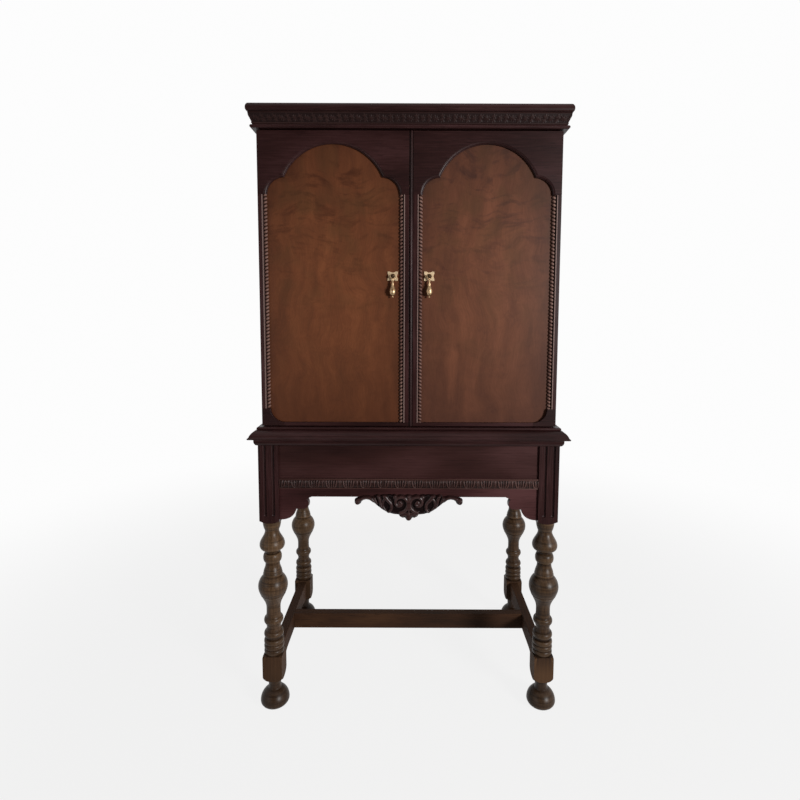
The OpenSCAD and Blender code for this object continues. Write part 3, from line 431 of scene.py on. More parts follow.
# %% [markdown]
# ## Crotch veneer
# The door panels are faced with crotch walnut, sawn where a branch leaves the trunk. Its
# fibres swirl, so light flames rise in the middle, and dark wisps lie across the upper
# part. The panel is darker towards its edges, and the edge of the board itself is
# stained like the frame. Noises stretched in different directions make the figure. The
# darkening is how far a place lies from the middle, raised to a power: that stays near 0
# for most of the way and rises quickly at the edge.

# %% The veneer of the doors
FLAME, WISP, VEIN, SWIRL, VEIL = 34 * MM, 19 * MM, 2.4 * MM, 160 * MM, 75 * MM
PANEL_RIM, PANEL_TOP = 12 * MM, 20 * MM
SHADE = 0.6
OLIVE, EDGE_STAIN = "#4c351f", "#2b1615"


def veneer(name, tones, panel):
    """panel is the visible field as (x0, z0, x1, z1) in metres."""
    material, tree = empty_material(name)
    place, board = places(tree)
    swirl = add(tree, "TexNoise", {"Vector": board, "Scale": 1 / SWIRL, "Detail": 2.0})
    bent = add(tree, "VectorMath", {0: swirl.outputs["Color"], 1: (0.10, 0.10, 0.16),
                                    2: board}, operation="MULTIPLY_ADD")
    flames, wisps, fibres = [add(tree, "TexNoise", {
        "Vector": add(tree, "VectorMath", {0: bent, 1: stretch}, operation="MULTIPLY"),
        "Scale": 1 / size, "Detail": 3.0, "Roughness": rough})
        for stretch, size, rough in (((1, 1, 0.16), FLAME, 0.5), ((0.3, 1, 1), WISP, 0.6),
                                     ((1, 1, 0.05), VEIN, 0.5))]
    clouds = add(tree, "TexNoise", {"Vector": bent, "Scale": 1 / VEIL, "Detail": 3.0})
    share = 0.02
    for pattern, weight in ((flames, 0.7), (fibres, 0.28)):
        share = add(tree, "Math", {0: pattern, 1: weight, 2: share}, operation="MULTIPLY_ADD")
    stain = add(tree, "ValToRGB", {"Fac": share},
                ramp=[(0.28, tones[1]), (0.5, tones[2]), (0.74, tones[3])])
    split = add(tree, "SeparateXYZ", {0: place}).outputs
    up = add(tree, "MapRange", {"Value": split["Z"], "From Min": panel[1],
                                "From Max": panel[3]})
    upper = add(tree, "MapRange", {"Value": up, "From Min": 0.35, "From Max": 0.95,
                                   "To Min": 0.12, "To Max": 0.7},
                interpolation_type="SMOOTHSTEP")
    wisp = add(tree, "MapRange", {"Value": wisps, "From Min": 0.5, "From Max": 0.68})
    cloud = add(tree, "MapRange", {"Value": clouds, "From Min": 0.46, "From Max": 0.64,
                                   "To Max": 0.5})
    wisp = add(tree, "Math", {0: wisp, 1: upper}, operation="MULTIPLY")
    cloud = add(tree, "Math", {0: cloud, 1: up}, operation="MULTIPLY")
    outward, darker = [], []
    for k, axis, power in ((0, "X", 3.5), (1, "Z", 2.2)):
        low, high = panel[k], panel[k + 2]
        off = add(tree, "Math", {0: split[axis], 1: (low + high) / 2}, operation="SUBTRACT")
        off = add(tree, "Math", {0: off, 1: (high - low) / 2}, operation="DIVIDE")
        outward.append(add(tree, "Math", {0: off}, operation="ABSOLUTE"))
        darker.append(add(tree, "Math", {0: outward[k], 1: power}, operation="POWER"))
    rim = add(tree, "Math", {0: darker[0], 1: darker[1]}, operation="ADD", use_clamp=True)
    rim = add(tree, "Math", {0: rim, 1: SHADE}, operation="MULTIPLY")
    reach = (panel[2] - panel[0]) / 2
    edge = add(tree, "MapRange", {"Value": outward[0],
                                  "From Min": (reach + PANEL_RIM - 1.5 * MM) / reach,
                                  "From Max": (reach + PANEL_RIM - 1.0 * MM) / reach})
    layers = [(wisp, linear(tones[0])), (cloud, linear(OLIVE)), (rim, linear(tones[0])),
              (edge, linear(EDGE_STAIN))]
    gloss = add(tree, "MapRange", {"Value": fibres, "To Min": 0.34, "To Max": 0.48})
    surface(tree, stain, layers, gloss, fibres, 0.12, 0.1 * MM,
            {"IOR": WOOD_IOR, "Specular IOR Level": 0.16})
    return material


print("veneer flames are", FLAME / MM, "mm wide and wisps", WISP / MM, "mm high")

# %% [markdown]
# ## Brass and steel
# The pulls and hinges are cast and drawn brass that has gone brown in its hollows and is
# rubbed bright where hands touch it. Brass is a metal, so its colour is its reflection,
# and the tarnish is a darker, rougher skin that noise lays over it in patches. No cloth
# gets in round the post of a pull plate, so a dark ring of old polish stays there.

# %% The metals
GRIME_NEAR, GRIME_FAR, GRIME_SHARE = 4.6 * MM, 7.4 * MM, 0.93


def metal(name, bright, dull, rough, patch, boss=None):
    """Drawn or cast metal with tarnish in patches of a given size in mm."""
    material, tree = empty_material(name)
    place = add(tree, "TexCoord").outputs["Object"]
    skin = add(tree, "TexNoise", {"Vector": place, "Scale": 1 / (patch * MM), "Detail": 4.0,
                                  "Roughness": 0.6})
    point = add(tree, "NewGeometry").outputs["Pointiness"]
    rub = add(tree, "MapRange", {"Value": point, "From Min": 0.47, "From Max": 0.56,
                                 "To Min": -0.25, "To Max": 0.25})
    share = add(tree, "Math", {0: skin, 1: rub}, operation="ADD")
    tone = add(tree, "ValToRGB", {"Fac": share}, ramp=[(0.3, dull), (0.62, bright)])
    layers = []
    if boss:
        middle = add(tree, "Attribute", attribute_type="OBJECT", attribute_name="boss")
        off = add(tree, "VectorMath", {0: place, 1: middle.outputs["Vector"]},
                  operation="SUBTRACT")
        off = add(tree, "VectorMath", {0: off, 1: (1, 0, 1)}, operation="MULTIPLY")
        away = add(tree, "VectorMath", {0: off}, operation="LENGTH").outputs["Value"]
        grime = add(tree, "MapRange", {"Value": away, "From Min": GRIME_NEAR,
                                       "From Max": GRIME_FAR, "To Min": GRIME_SHARE,
                                       "To Max": 0.0})
        layers = [(grime, linear(boss))]
    scuff = add(tree, "MapRange", {"Value": share, "From Min": 0.2, "From Max": 0.8,
                                   "To Min": rough + 0.18, "To Max": rough})
    surface(tree, tone, layers, scuff, skin, 0.2, 0.1 * MM, {"Metallic": 1.0})
    return material


brass = metal("antique_brass", "#cdb08a", "#6d4f33", 0.38, 7)
plate_brass = metal("antique_brass_plate", "#e6cba6", "#8d6c4a", 0.46, 7, "#2a170b")
steel = metal("drawn_steel", "#b9b9b7", "#77767a", 0.3, 14)
print("metals:", brass.name, plate_brass.name, steel.name)

# %% [markdown]
# ## Which wood goes where
# The frame of the cabinet is stained almost black, with a red cast. The frieze and, still
# more, the apron are painted lighter: painted light against the shade under the mouldings
# above them. The turned legs are a lighter, greyer walnut in three tones, the left pair
# lightest and the front right leg darkest, and the stretchers lie between the two. Carved
# pieces are darker in their ground, a darker stain with painted shade, and the flat strips
# beside the ropes show one light line, wear with a painted highlight. The grain follows the
# longest side of a board, as a joiner would saw it, so each plain stain exists once for
# each direction.

# %% The stains
QUIET = {"grain": 0.28, "pores": 0.35}
PLAIN_STAINS = {
    # satin lacquer over the darkest stain, so that edges shine and faces stay deep
    "dark_walnut": ("dark_stained_walnut", ("#170a0a", "#271312", "#3a2222"), {}),
    # the same lacquer on quietly figured wood, painted lighter against the mouldings' shade
    "stand": ("dark_walnut_of_the_stand_painted_lighter", ("#1b0c0b", "#2c1715", "#3f2625"), QUIET),
    "apron": ("dark_walnut_apron_painted_lighter", ("#21100f", "#371d1d", "#4a2d2d"), QUIET),
    # stretchers that feet have rubbed until the gloss is gone
    "rail_walnut": ("plain_walnut", ("#1d120b", "#352115", "#4a3220"),
                    {"rough": 0.7, "shine": 0.1}),
    # boards inside and behind, only oiled, pale and dull with clear rings
    "inner_wood": ("oiled_inner_walnut", ("#4f3826", "#6e513a", "#8a6a4d"),
                   {"ring": 10, "rough": 0.6, "shine": 0.25, "rings_show": 0.5}),
}
STAINS = {slot: {axis: walnut(f"{name}_{axis}", tones, axis, **settings) for axis in AXES}
          for slot, (name, tones, settings) in PLAIN_STAINS.items()}
# three tones, each with how much darker its foot is painted: painted shade, with a little dirt
LEG_TONES = {"light": (("#1f140b", "#4d3825", "#735944"), 0.85),
             "middle": (("#1a100a", "#3e2b1c", "#5e4733"), 0.85),
             "dark": (("#140c07", "#2f2014", "#4a3727"), 0.4)}
LEG_STAIN = {"leg_front_left": "light", "leg_back_left": "light",
             "leg_back_right": "middle", "leg_front_right": "dark"}
TURNED_WALNUT = {
    tone: walnut(f"turned_walnut_{tone}", tones, "z", ring=9, rough=0.34, rings_show=0.14,
                 grain=0.5, wear_and_highlight=("#7a6148", 0.4), lathe=0.6, dirt_and_shade=dirt_and_shade)
    for tone, (tones, dirt_and_shade) in LEG_TONES.items()
}
CARVED = {
    "frieze": walnut("carved_walnut_frieze", ("#2a1613", "#3d2622", "#533a35"), "x",
                     rough=0.42, shine=0.18, carved="#1f100e"),
    "cornice": walnut("carved_walnut_cornice", ("#1d100f", "#2c1b19", "#3d2a27"), "x",
                      rough=0.46, shine=0.1, carved="#1c0f0e"),
    "crest": walnut("carved_walnut_crest", ("#180a0a", "#281615", "#402a28"), "x",
                    rough=0.3, shine=0.22, carved="#110707"),
    "rope": walnut("twisted_dark_walnut", ("#482e26", "#674940", "#866a5f"), "z",
                   rough=0.42, shine=0.2, carved="#1d0c08"),
}
ARRIS_WALNUT = walnut("dark_walnut_with_rubbed_and_highlit_arris", ("#1a0b0b", "#2d1615", "#422828"),
                      "z", arris="#77615b")
VENEER_TONES = {"left": ("#3a1e12", "#512f1e", "#643923", "#78462b"),
                "right": ("#341f1a", "#4e2e21", "#613a28", "#744631")}
print("stains:", ", ".join([*STAINS, *TURNED_WALNUT, *CARVED]))

# %% [markdown]
# ## Dressing the CAD pieces
# The shapes of the boards and turnings are right already, so they keep their meshes. No
# real edge is perfectly sharp: a small bevel on every board catches the light. Turned
# pieces only need smooth shading that still breaks at the fillets. A strip beside a rope
# is told where its arris runs, and a pull plate where its post stands.

# %% Finish every CAD node
TURNED = ("leg_", "hinge", "pull", "shelf_pins")
EDGE_ROUND = 0.7 * MM
FILLET = 2.5 * MM
WELD_REACH = 0.01 * MM
CREASE = math.radians(34)
# the frieze and the apron take stains painted lighter, as painted light against the mouldings'
# shade
STAND_BOARDS = {"apron": "apron", "frieze_panel": "stand"}
SLOT_OF = {s["node"]: s["material_slot"] for s in frame["record"]["subparts"]}
rng = np.random.default_rng(7)


def own_board(obj):
    """Gives a piece its own place in the solid wood texture, 10 to 40 cm from the pith."""
    obj["board"] = [float(v) for v in rng.uniform(0.1, 0.4, 3)]


def long_axis(low, high):
    sizes = [b - a for a, b in zip(low, high)]
    return "xyz"[sizes.index(max(sizes))]


def smooth_shading(obj, turned):
    """Joins the triangles' corners, rounds the edges and lets the shading flow."""
    obj.data.polygons.foreach_set("use_smooth", [True] * len(obj.data.polygons))
    weld = obj.modifiers.new("weld", "WELD")
    weld.merge_threshold = WELD_REACH
    if turned:
        split = obj.modifiers.new("fillets", "EDGE_SPLIT")
        split.split_angle = CREASE
        return
    flat = obj.modifiers.new("flat", "DECIMATE")
    flat.decimate_type = "DISSOLVE"
    flat.angle_limit = math.radians(1)
    bevel = obj.modifiers.new("edges", "BEVEL")
    bevel.width = EDGE_ROUND
    bevel.segments = 2
    bevel.limit_method = "ANGLE"
    bevel.angle_limit = CREASE
    bevel.use_clamp_overlap = True
    even = obj.modifiers.new("even", "WEIGHTED_NORMAL")
    even.keep_sharp = False


def clear_split_normals(obj):
    """The import's own normals belong to the raw triangles, so they are dropped."""
    with bpy.context.temp_override(object=obj, active_object=obj, selected_objects=[obj],
                                   selected_editable_objects=[obj]):
        bpy.ops.mesh.customdata_custom_splitnormals_clear()


for name, obj in nodes.items():
    slot = SLOT_OF[name]
    low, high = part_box(name)
    clear_split_normals(obj)
    smooth_shading(obj, any(part in name for part in TURNED))
    own_board(obj)
    if name.endswith(("outer_strip", "inner_strip")):
        ropes_low, ropes_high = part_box(f"{name.split('_')[0]}_ropes")
        left_side = (low.x + high.x) / 2 < (ropes_low.x + ropes_high.x) / 2
        obj["arris"] = ropes_low.x - FILLET / 2 if left_side else ropes_high.x + FILLET / 2
        look = ARRIS_WALNUT
    elif name in LEG_STAIN:
        look = TURNED_WALNUT[LEG_STAIN[name]]
    elif slot in STAINS:
        look = STAINS[STAND_BOARDS.get(name, slot)][long_axis(low, high)]
    elif slot == "walnut_veneer":
        side = name.split("_")[0]
        look = veneer(f"crotch_walnut_{side}", VENEER_TONES[side],
                      (low.x + PANEL_RIM, low.z, high.x - PANEL_RIM, high.z - PANEL_TOP))
    elif name.endswith("pull_plate"):
        obj["boss"] = [(c + d) / 2 for c, d in zip(low, high)]
        look = plate_brass
    else:
        look = steel if slot == "steel" else brass
    obj.data.materials.clear()
    obj.data.materials.append(look)
print("dressed CAD nodes:", len(nodes))

# %% [markdown]
# ## Building meshes from grids
# Ropes and carved mouldings are all one idea: a section that is carried along a line and
# changes as it goes. A grid of points with faces between neighbours makes them, and the
# two open ends are closed with a single face each.

# %% Grid helpers
GRID_CREASE = math.radians(50)


def grid_faces(rows, columns, ring):
    """Quads between neighbouring rows; ring also joins the last column to the first."""
    faces = []
    for i in range(rows - 1):
        for j in range(columns if ring else columns - 1):
            k = (j + 1) % columns
            faces.append((i * columns + j, i * columns + k, (i + 1) * columns + k,
                          (i + 1) * columns + j))
    return faces


def soft(value):
    """0 to 1 with a soft start and a soft end."""
    value = np.clip(value, 0, 1)
    return value * value * (3 - 2 * value)


def swept_solid(points):
    """points[row][column] is a closed section at each row; both ends get a cap."""
    rows, columns = points.shape[:2]
    faces = grid_faces(rows, columns, True)
    faces.append(tuple(range(columns))[::-1])
    faces.append(tuple((rows - 1) * columns + j for j in range(columns)))
    return points.reshape(-1, 3), faces


def make_piece(name, solids, body, material, replaced=()):
    """One object from several (points, faces, hollow) solids, given in millimetres."""
    verts, faces, depths = [], [], []
    for points, quads, *hollow in solids:
        start = len(verts)
        verts.extend(map(tuple, np.asarray(points) * MM))
        faces.extend(tuple(i + start for i in quad) for quad in quads)
        depths.extend(hollow[0] if hollow else [0.0] * len(points))
    mesh = bpy.data.meshes.new(name)
    mesh.from_pydata(verts, [], faces)
    mesh.attributes.new("hollow", "FLOAT", "POINT").data.foreach_set("value", depths)
    tidy = bmesh.new()
    tidy.from_mesh(mesh)
    bmesh.ops.recalc_face_normals(tidy, faces=tidy.faces)
    tidy.to_mesh(mesh)
    tidy.free()
    mesh.polygons.foreach_set("use_smooth", [True] * len(mesh.polygons))
    mesh.materials.append(material)
    obj = bpy.data.objects.new(name, mesh)
    bpy.context.scene.collection.objects.link(obj)
    split = obj.modifiers.new("fillets", "EDGE_SPLIT")
    split.split_angle = GRID_CREASE
    own_board(obj)
    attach(obj, body)
    if replaced:
        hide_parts(*replaced)
    return obj


def box_mm(node):
    """The lowest and the highest corner of a CAD node in millimetres."""
    low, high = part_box(node)
    return np.array(low) / MM, np.array(high) / MM


print("a 3 by 4 grid has", len(grid_faces(3, 4, False)), "faces")

# %% [markdown]
# ## Rope mouldings
# Beside each panel runs a half-round rope: a rod that was cut with one thick twisted
# strand and then split in two. Its highlights repeat every 9.1 mm, so that is one turn.
# The section is an arc with a groove in it that turns as it climbs, and each point keeps
# how deep it lies, so that the groove and the foot of the rope can be painted darker:
# painted shade, with a darker stain.

# %% The twisted ropes
ROPE_TURN = 9.1
ROPE_WIDE = 10.5
ROPE_GROOVE = 2.8
ROPE_STEP = 0.9
ROPE_POINTS = 24


def rope(x_mid, y_flat, radius, depth, z0, z1, hand):
    """A half-round rope that stands on the plane y_flat and bulges towards -Y."""
    heights = np.linspace(z0, z1, int((z1 - z0) / ROPE_STEP) + 1)
    angles = np.radians(np.linspace(180, 360, ROPE_POINTS))
    z, a = np.meshgrid(heights, angles, indexing="ij")
    phase = 0.5 * (a + hand * 2 * np.pi * z / ROPE_TURN)
    groove = 1 - np.abs(np.sin(phase)) ** 0.7
    r = radius - ROPE_GROOVE * groove
    y_mid = y_flat - depth + radius
    front = np.stack([x_mid + r * np.cos(a), y_mid + r * np.sin(a), z], axis=-1)
    foot = [np.stack([np.full_like(heights, x_mid + s * (radius - ROPE_GROOVE)),
                      np.full_like(heights, y_flat), heights], axis=-1)[:, None]
            for s in (1, -1)]
    # the groove is painted darker, the foot fully: painted shade, with a darker stain
    dark = soft(1.6 * groove - 0.05)
    hollow = np.concatenate([dark, np.ones((len(heights), 2))], axis=1)
    return *swept_solid(np.concatenate([front, *foot], axis=1)), hollow.ravel()


def door_ropes(side):
    low, high = box_mm(f"{side}_ropes")
    radius, depth = ROPE_WIDE / 2, high[1] - low[1]
    solids = []
    outer_foot = box_mm(f"{side}_outer_strip")[0][2]
    for x_mid, is_outer in ((low[0] + radius, side == "left"),
                            (high[0] - radius, side == "right")):
        z0 = outer_foot if is_outer else low[2]
        hand = 1 if x_mid > 0 else -1
        solids.append(rope(x_mid, high[1], radius, depth, z0, high[2], hand))
    return make_piece(f"{side}_rope_twist", solids, f"{side}_door",
                      CARVED["rope"], [f"{side}_ropes"])


for side in ("left", "right"):
    twist = door_ropes(side)
    print(twist.name, "vertices:", len(twist.data.vertices))

# %% [markdown]
# ## Carving as a height
# A carver draws the pattern on the moulding and cuts the ground away from it. The same
# can be said with numbers: a height between 0 and 1 at every place along and up the
# moulding, where 1 is left standing and 0 is the cut ground. Ridges and leaves are simple
# functions of the distance to a line, and the highest one wins.

# %% Ridges and leaves as functions
VINE_HIGH = 20
VINE_LEAVES = ((0, 0.5, 8.5, 8), (15, 0.66, 8, 5), (15, 0.3, 7, 5), (-15, 0.34, 8, 5),
               (-15, 0.72, 7, 5), (28, 0.55, 7.5, 6), (-28, 0.45, 7.5, 6))


def ridge(distance, width):
    """A rounded ridge: 1 on the line, 0 from the width outwards."""
    return np.sqrt(np.clip(1 - (distance / width) ** 2, 0, 1))


def leaf_and_dart(u, t, period):
    """Hanging leaves with a raised rim and a midrib, and a dart between each pair."""
    p = (u / period - np.floor(u / period) - 0.5) * period
    half_leaf = 0.31 * period * np.sqrt(np.clip(1 - (1 - t) ** 2.6, 0, 1))
    rim = ridge(np.abs(p) - half_leaf, 0.055 * period)
    inner = ridge(np.abs(p) - 0.5 * half_leaf, 0.05 * period) * 0.8 * soft(t * 3)
    midrib = ridge(p, 0.035 * period) * 0.75
    dart_off = period / 2 - np.abs(p)
    dart = ridge(dart_off, (0.02 + 0.06 * t) * period) * 0.9
    flank = ridge(dart_off - 0.1 * period, 0.03 * period) * 0.55 * soft(2 * t)
    return np.max([rim, inner, midrib, dart, flank], axis=0)


def foliage(u, t, period):
    """Lobed leaves in pairs round small rosettes, given by place, level, size and lobes."""
    p = (u / period - np.floor(u / period) - 0.5) * period
    height = np.zeros(np.broadcast(u, t).shape)
    for middle, level, size, petals in VINE_LEAVES:
        x, y = p - middle, (t - level) * VINE_HIGH
        reach, angle = np.hypot(x, y), np.arctan2(y, x)
        edge = size * (0.78 + 0.22 * np.cos(petals * angle + middle))
        lobe = soft((edge - reach) / 2.5) * (0.7 + 0.3 * np.cos(2 * petals * angle))
        height = np.maximum(height, lobe)
        height = np.maximum(height, 0.9 * ridge(reach, 1.6))
    return height


print("height on a ridge's line:", float(ridge(np.array(0.0), 1.0)))

# %% [markdown]
# ## The leaf moulding under the frieze
# This moulding is a swelling strip with hanging leaves cut into it. Its section is carried
# from post to post, and where the pattern is low, the section is pushed back in. The flat
# fillets above and below the leaves stay whole.

# %% The carved moulding under the frieze
LEAF_PERIOD = 44.93
CARVE_STEP = 0.9
MOULD_CUT = 3.0
SWELL_POINTS = 22


def carved_strip(profile, carved, stations, place, pattern, cut):
    """Sweeps a section [out, z] along stations; carved gives the rows t in 0..1 or nan."""
    out = np.array([p[0] for p in profile])
    z = np.array([p[1] for p in profile])
    t = np.array(carved)
    s, _ = np.meshgrid(stations, out, indexing="ij")
    x, y, run = place(s, out)
    height = np.where(np.isnan(t), 1, pattern(run, np.nan_to_num(t)))
    depth = cut * (1 - height) * np.nan_to_num(np.sin(np.pi * np.clip(t, 0, 1)) ** 0.35)
    x, y, run = place(s, out - depth)
    # the cut ground is painted darker through this: painted shade, with a darker stain
    hollow = np.where(np.isnan(t), 0, 1 - height) ** 1.2
    return (*swept_solid(np.stack([x, y, np.broadcast_to(z, x.shape)], axis=-1)),
            hollow.ravel())


def frieze_carving():
    low, high = box_mm("frieze_moulding")
    z0, z1, full = low[2], high[2], high[1] - low[1]
    top, foot = z1 - 4, z0 + 2.5
    # from below: a flat fillet, the swell with the leaves, a fillet and a flat top edge
    profile = [(0, z0), (full * 0.45, z0), (full * 0.45, z0 + 2)]
    carved = [np.nan] * 3
    for a in np.linspace(0, math.pi, SWELL_POINTS):
        out = full * (0.4 + 0.6 * math.sin(a))
        profile.append((out, (foot + top) / 2 - (top - foot) / 2 * math.cos(a)))
        carved.append(a / math.pi)
    profile += [(full * 0.5, z1 - 3.5), (full * 0.65, z1 - 3), (full * 0.65, z1), (0, z1)]
    carved += [np.nan] * 4
    stations = np.linspace(low[0], high[0], int((high[0] - low[0]) / CARVE_STEP))
    solid = carved_strip(profile, carved, stations,
                         lambda s, out: (s, high[1] - out, s),
                         lambda u, t: leaf_and_dart(u, t, LEAF_PERIOD), MOULD_CUT)
    return make_piece("frieze_leaf_carving", [solid], "cabinet", CARVED["frieze"],
                      ["frieze_moulding"])


carving = frieze_carving()
print(carving.name, "vertices:", len(carving.data.vertices))

# %% [markdown]
# ## The carved cornice moulding
# The cornice is three strips, mitred at the front corners: one along the front and one
# down each side. In the mitre, the further a point stands out, the further along the strip
# it ends, so the ends follow the section by themselves.

# %% The three carved cornice strips
VINE_PERIOD = 61.0
CORNICE_CUT = 1.1
CORNICE_RIM = 34
CORNICE_SWELL = 6.5
CORNICE_FOOT, CORNICE_HEAD = 2.5, 5
CORNICE_ROWS = 20


def cornice_carving():
    low, high = box_mm("cornice_moulding")
    case_low, case_high = box_mm("case_top")
    half_w, front, back = case_high[0], case_low[1], high[1]
    out_top = high[0] - half_w
    out_foot = out_top - CORNICE_SWELL
    z0, z1 = low[2], high[2]
    run = z1 - CORNICE_HEAD - z0 - CORNICE_FOOT
    profile = [(out_foot - 1, z0), (out_foot, z0 + 2)]
    carved = [np.nan] * 2
    for i in range(CORNICE_ROWS + 1):
        t = i / CORNICE_ROWS
        ease = (1 - math.cos(math.pi * t)) / 2
        profile.append((out_foot + CORNICE_SWELL * ease, z0 + CORNICE_FOOT + run * t))
        carved.append(t)
    profile += [(out_top, z1 - 1), (out_top - 1, z1), (out_top - CORNICE_RIM, z1),
                (out_top - CORNICE_RIM, z0)]
    carved += [np.nan] * 4
    cut = lambda u, t: foliage(u, t, VINE_PERIOD)
    across = np.linspace(-1, 1, int(2 * half_w / CARVE_STEP))
    solids = [carved_strip(profile, carved, across,
                           lambda s, out: (s * (half_w + out), front - out + 0 * s,
                                           s * half_w), cut, CORNICE_CUT)]
    deep = np.linspace(0, 1, int((back - front) / CARVE_STEP))
    for sign in (-1, 1):
        solids.append(carved_strip(
            profile, carved, deep,
            lambda s, out: (sign * (half_w + out) + 0 * s,
                            back - (back - front + out) * s,
                            half_w + (back - front) * (1 - s)), cut, CORNICE_CUT))
    return make_piece("cornice_foliage_carving", solids, "cabinet", CARVED["cornice"],
                      ["cornice_moulding"])


carving = cornice_carving()
print(carving.name, "vertices:", len(carving.data.vertices))

# %% [markdown]
# ## The carved crest
# The crest under the apron is one board with two volutes turned in to each other, a leaf
# between them, long leaves that sweep out to the ends and a bud at the foot. It is built
# as a relief: a fine net of points over the outline, each pushed forward by the height of
# the nearest ridge, and rounded off towards the edge.

# %% Outline of the crest
def crest_foot(x, edge):
    """Lowest height of the crest at a distance x from its middle, from the apron's edge."""
    outline = [(0, -61), (4, -60.2), (7, -58), (9.5, -54.5), (16, -53), (22, -50),
               (26, -46), (40, -44.5), (52, -41), (66, -34), (80, -23.5), (92, -13),
               (101, -7.5), (110, -5.5), (118, -7), (123, -11), (125, -15.5), (129, -19),
               (133, -20), (137, -18.5), (140.5, -14), (142, -9)]
    xs, zs = zip(*outline)
    return edge + np.interp(x, xs, zs)


def crest_head(x, edge, lap):
    """Highest height of the crest, which laps over the apron in separate leaf tips."""
    xs, zs = zip((96, 0.3 * lap), (104, 5), (118, 4), (133, 0), (140, -4), (142, -8))
    tips = [(0, 8), (20, 11), (37, 6), (50, 8), (64, 8), (81, 8)]
    tip = sum(np.exp(-(((x - place) / wide) ** 2)) for place, wide in tips)
    return edge + np.where(x < 90, lap * np.clip(tip, 0.35, 1), np.interp(x, xs, zs))


print("the crest hangs down by", -float(crest_foot(0, 0)), "mm")

# %% [markdown]
# ## The ridges of the crest
# Every scroll, leaf and vein is a ridge along a line, with one width at its start and
# another at its end. The scrolls follow spirals. The leaves follow smooth lines that are
# led through a few points, as a carver would sketch them.

# %% Ridges of the crest
CREST_GROUND = 0.18


def spiral(centre, r0, r1, a0, a1, count=90):
    """A line from the radius r0 to r1 while it turns from the angle a0 to a1."""
    t = np.linspace(0, 1, count)
    r = r0 + (r1 - r0) * t ** 0.8
    a = np.radians(a0 + (a1 - a0) * t)
    return np.stack([centre[0] + r * np.cos(a), centre[1] + r * np.sin(a)], axis=-1)


def bow(points, count=40):
    """A smooth line through a few points, each with its own share of the length."""
    points = np.array(points, float)
    t = np.linspace(0, len(points) - 1, count)
    k = np.clip(t.astype(int), 0, len(points) - 2)
    f = (t - k)[:, None]
    before = points[np.clip(k - 1, 0, None)]
    after = points[np.clip(k + 2, None, len(points) - 1)]
    a, b = points[k], points[k + 1]
    m0, m1 = (b - before) / 2, (after - a) / 2
    return ((2 * f ** 3 - 3 * f ** 2 + 1) * a + (f ** 3 - 2 * f ** 2 + f) * m0
            + (3 * f ** 2 - 2 * f ** 3) * b + (f ** 3 - f ** 2) * m1)


def crest_ridges():
    """Lines of the right half: (points, width at the start, width at the end, height)."""
    return [
        (spiral((23, -13), 26.5, 3.5, 268, -190), 5.9, 4.1, 1.0),
        (spiral((23, -13), 2.6, 0.4, 0, 360, 30), 5.6, 5.1, 1.0),
        (bow([(17, 9), (30, 8), (37, 2)]), 3.2, 5.4, 0.9),
        (bow([(64, 6), (56, -4), (46, -16), (46, -30), (54, -38)]), 6.6, 3.7, 0.95),
        (bow([(59, 1), (67, -9), (67, -22), (59, -33)]), 4.9, 2.9, 0.8),
        (bow([(80, 7), (76, -3), (74, -14), (70, -25)]), 5.9, 3.4, 0.95),
        (bow([(92, 5), (88, -4), (83, -14)]), 5.1, 3.2, 0.85),
        (bow([(132, -10), (124, -2), (112, 2), (101, 0), (92, -8)]), 5.4, 4.4, 0.9),
        (spiral((133, -10.5), 6.2, 1.0, 130, -330), 4.6, 3.7, 1.0),
        (bow([(0, 10), (0, -4), (0, -30), (0, -44)]), 6.8, 2.0, 1.0),
        (bow([(7, 9), (6, 0), (3, -14)]), 3.2, 1.7, 0.6),
        (bow([(3, -43), (12, -44), (22, -49), (16, -53)]), 6.1, 3.7, 0.9),
        (bow([(0, -46), (0, -58)]), 9.2, 6.7, 1.0),
        (bow([(40, -40), (30, -41), (20, -41)]), 2.8, 2.4, 0.5),
    ]


def crest_height(x, z):
    """Relief from 0 to 1 at x and at the height z from the apron's edge."""
    height = np.full(x.shape, CREST_GROUND)
    for line, w0, w1, top in crest_ridges():
        widths = np.linspace(w0, w1, len(line))
        for (px, pz), w in zip(line, widths):
            d = np.hypot(x - px, z - pz)
            near = d < w
            rise = CREST_GROUND + (top - CREST_GROUND) * ridge(d[near], w)
            height[near] = np.maximum(height[near], rise)
    return height


print("ridges on each half of the crest:", len(crest_ridges()))

# %% [markdown]
# ## The crest itself
# The columns of the net run from the lower to the upper outline, so its rows lie closer
# where the crest is low. A flat sheet behind closes it to a solid. It stays a hair inside
# the plain CAD crest that it replaces.

# %% The carved crest
CREST_STEP, CREST_ROWS = 0.75, 96
CREST_LAP = 8
CREST_RELIEF = 7.5
CREST_THIN = 1.2
CREST_EDGE = 3.5
CREST_INSIDE = 0.3


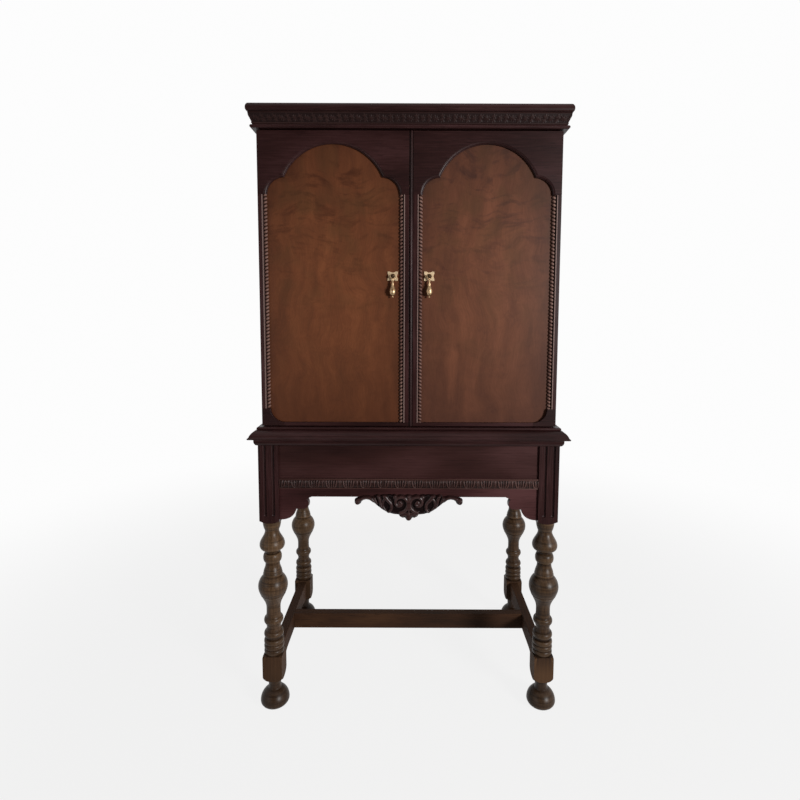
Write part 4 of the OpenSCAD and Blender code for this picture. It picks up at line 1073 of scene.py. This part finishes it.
def crest_carving():
    low, high = box_mm("apron_crest")
    edge, back = high[2] - CREST_LAP, high[1]
    reach = (high[0] - low[0]) / 2 - CREST_INSIDE
    x = np.linspace(-reach, reach, int(2 * reach / CREST_STEP))
    foot, head = crest_foot(np.abs(x), edge), crest_head(np.abs(x), edge, CREST_LAP)
    z = foot + (head - foot) * np.linspace(0, 1, CREST_ROWS)[:, None]
    xx = np.broadcast_to(x, z.shape)
    height = crest_height(np.abs(xx), z - edge)
    rim = np.minimum(np.minimum(z - foot, head - z), reach - np.abs(xx))
    rounding = np.sqrt(np.clip(1 - (1 - np.clip(rim / CREST_EDGE, 0, 1)) ** 2, 0, 1))
    board = back - low[1] - CREST_INSIDE - CREST_RELIEF - CREST_THIN
    y = back - (CREST_THIN + rounding * (board + CREST_RELIEF * height))
    front = np.stack([xx, y, z], axis=-1)
    rear = np.stack([xx, np.full_like(z, back), z], axis=-1)
    loop = np.concatenate([front, rear[::-1]], axis=0)
    # the ground between the ridges is painted darker: painted shade, with a darker stain
    hollow = np.concatenate([np.clip(1.3 * (1 - height), 0, 1), np.ones_like(z)], axis=0).T
    return make_piece("crest_scroll_carving",
                      [(*swept_solid(np.swapaxes(loop, 0, 1)), hollow.ravel())],
                      "cabinet", CARVED["crest"], ["apron_crest"])


carving = crest_carving()
print(carving.name, "vertices:", len(carving.data.vertices))

# %% [markdown]
# ## Screws
# The hinges are held by small slotted screws, sunk flush into their leaves. Only a
# slightly domed head with its slot shows when a door stands open. Each set of screws
# rides with the body that it is driven into.

# %% Screw heads in the hinge leaves
SCREW_R, SCREW_DOME = 2.1, 0.35
SCREW_RINGS, SCREW_SIDES = 7, 28
SLOT_WIDE, SLOT_DEEP = 0.5, 0.5
LEAF_LONG, KNUCKLE_R = 63, 3
SCREW_SPOTS = ((-22, 10), (0, 6.5), (22, 10))  # up from the leaf's middle, and in from the pin


def screw_head(centre, facing, slot_angle):
    """A domed disc with a slot; facing is +1 or -1 for a head that looks along +Y or -Y."""
    radii = np.linspace(0.02, 1, SCREW_RINGS) * SCREW_R
    angles = np.linspace(0, 2 * np.pi, SCREW_SIDES, endpoint=False)
    r, a = np.meshgrid(radii, angles, indexing="ij")
    x, z = r * np.cos(a), r * np.sin(a)
    rise = SCREW_DOME * (1 - (r / SCREW_R) ** 2)
    across = np.abs(-x * math.sin(slot_angle) + z * math.cos(slot_angle))
    rise = np.where(across < SLOT_WIDE, rise - SLOT_DEEP, rise)
    top = np.stack([centre[0] + x, centre[1] + facing * rise, centre[2] + z], axis=-1)
    foot = np.stack([centre[0] + x[-1], np.full(SCREW_SIDES, centre[1] - facing),
                     centre[2] + z[-1]], axis=-1)
    return swept_solid(np.concatenate([top, foot[None]], axis=0))


def hinge_screws():
    """Three screws in each leaf, in a shallow zigzag as drilled leaves have them."""
    sets = {"cabinet": [], "left_door": [], "right_door": []}
    case_leaf, door_leaf = box_mm("case_side_right"), box_mm("right_door_board")
    leaf_low, leaf_high = box_mm("right_hinge_leaves")
    axis_x = leaf_high[0] - KNUCKLE_R
    for side, sign in (("left", -1), ("right", 1)):
        for level in (leaf_low[2] + LEAF_LONG / 2, leaf_high[2] - LEAF_LONG / 2):
            for k, (up, inn) in enumerate(SCREW_SPOTS):
                x = sign * (axis_x - inn)
                turn = 0.5 + 0.9 * k + 0.4 * sign  # slots stop at any angle
                sets["cabinet"].append(screw_head((x, case_leaf[0][1], level + up), -1, turn))
                sets[f"{side}_door"].append(
                    screw_head((x, door_leaf[1][1], level + up), 1, turn + 0.7))
    return sets


for body, heads in hinge_screws().items():
    screws = make_piece(f"{body}_hinge_screws", heads, body, brass)
    print(screws.name, "heads:", len(heads))
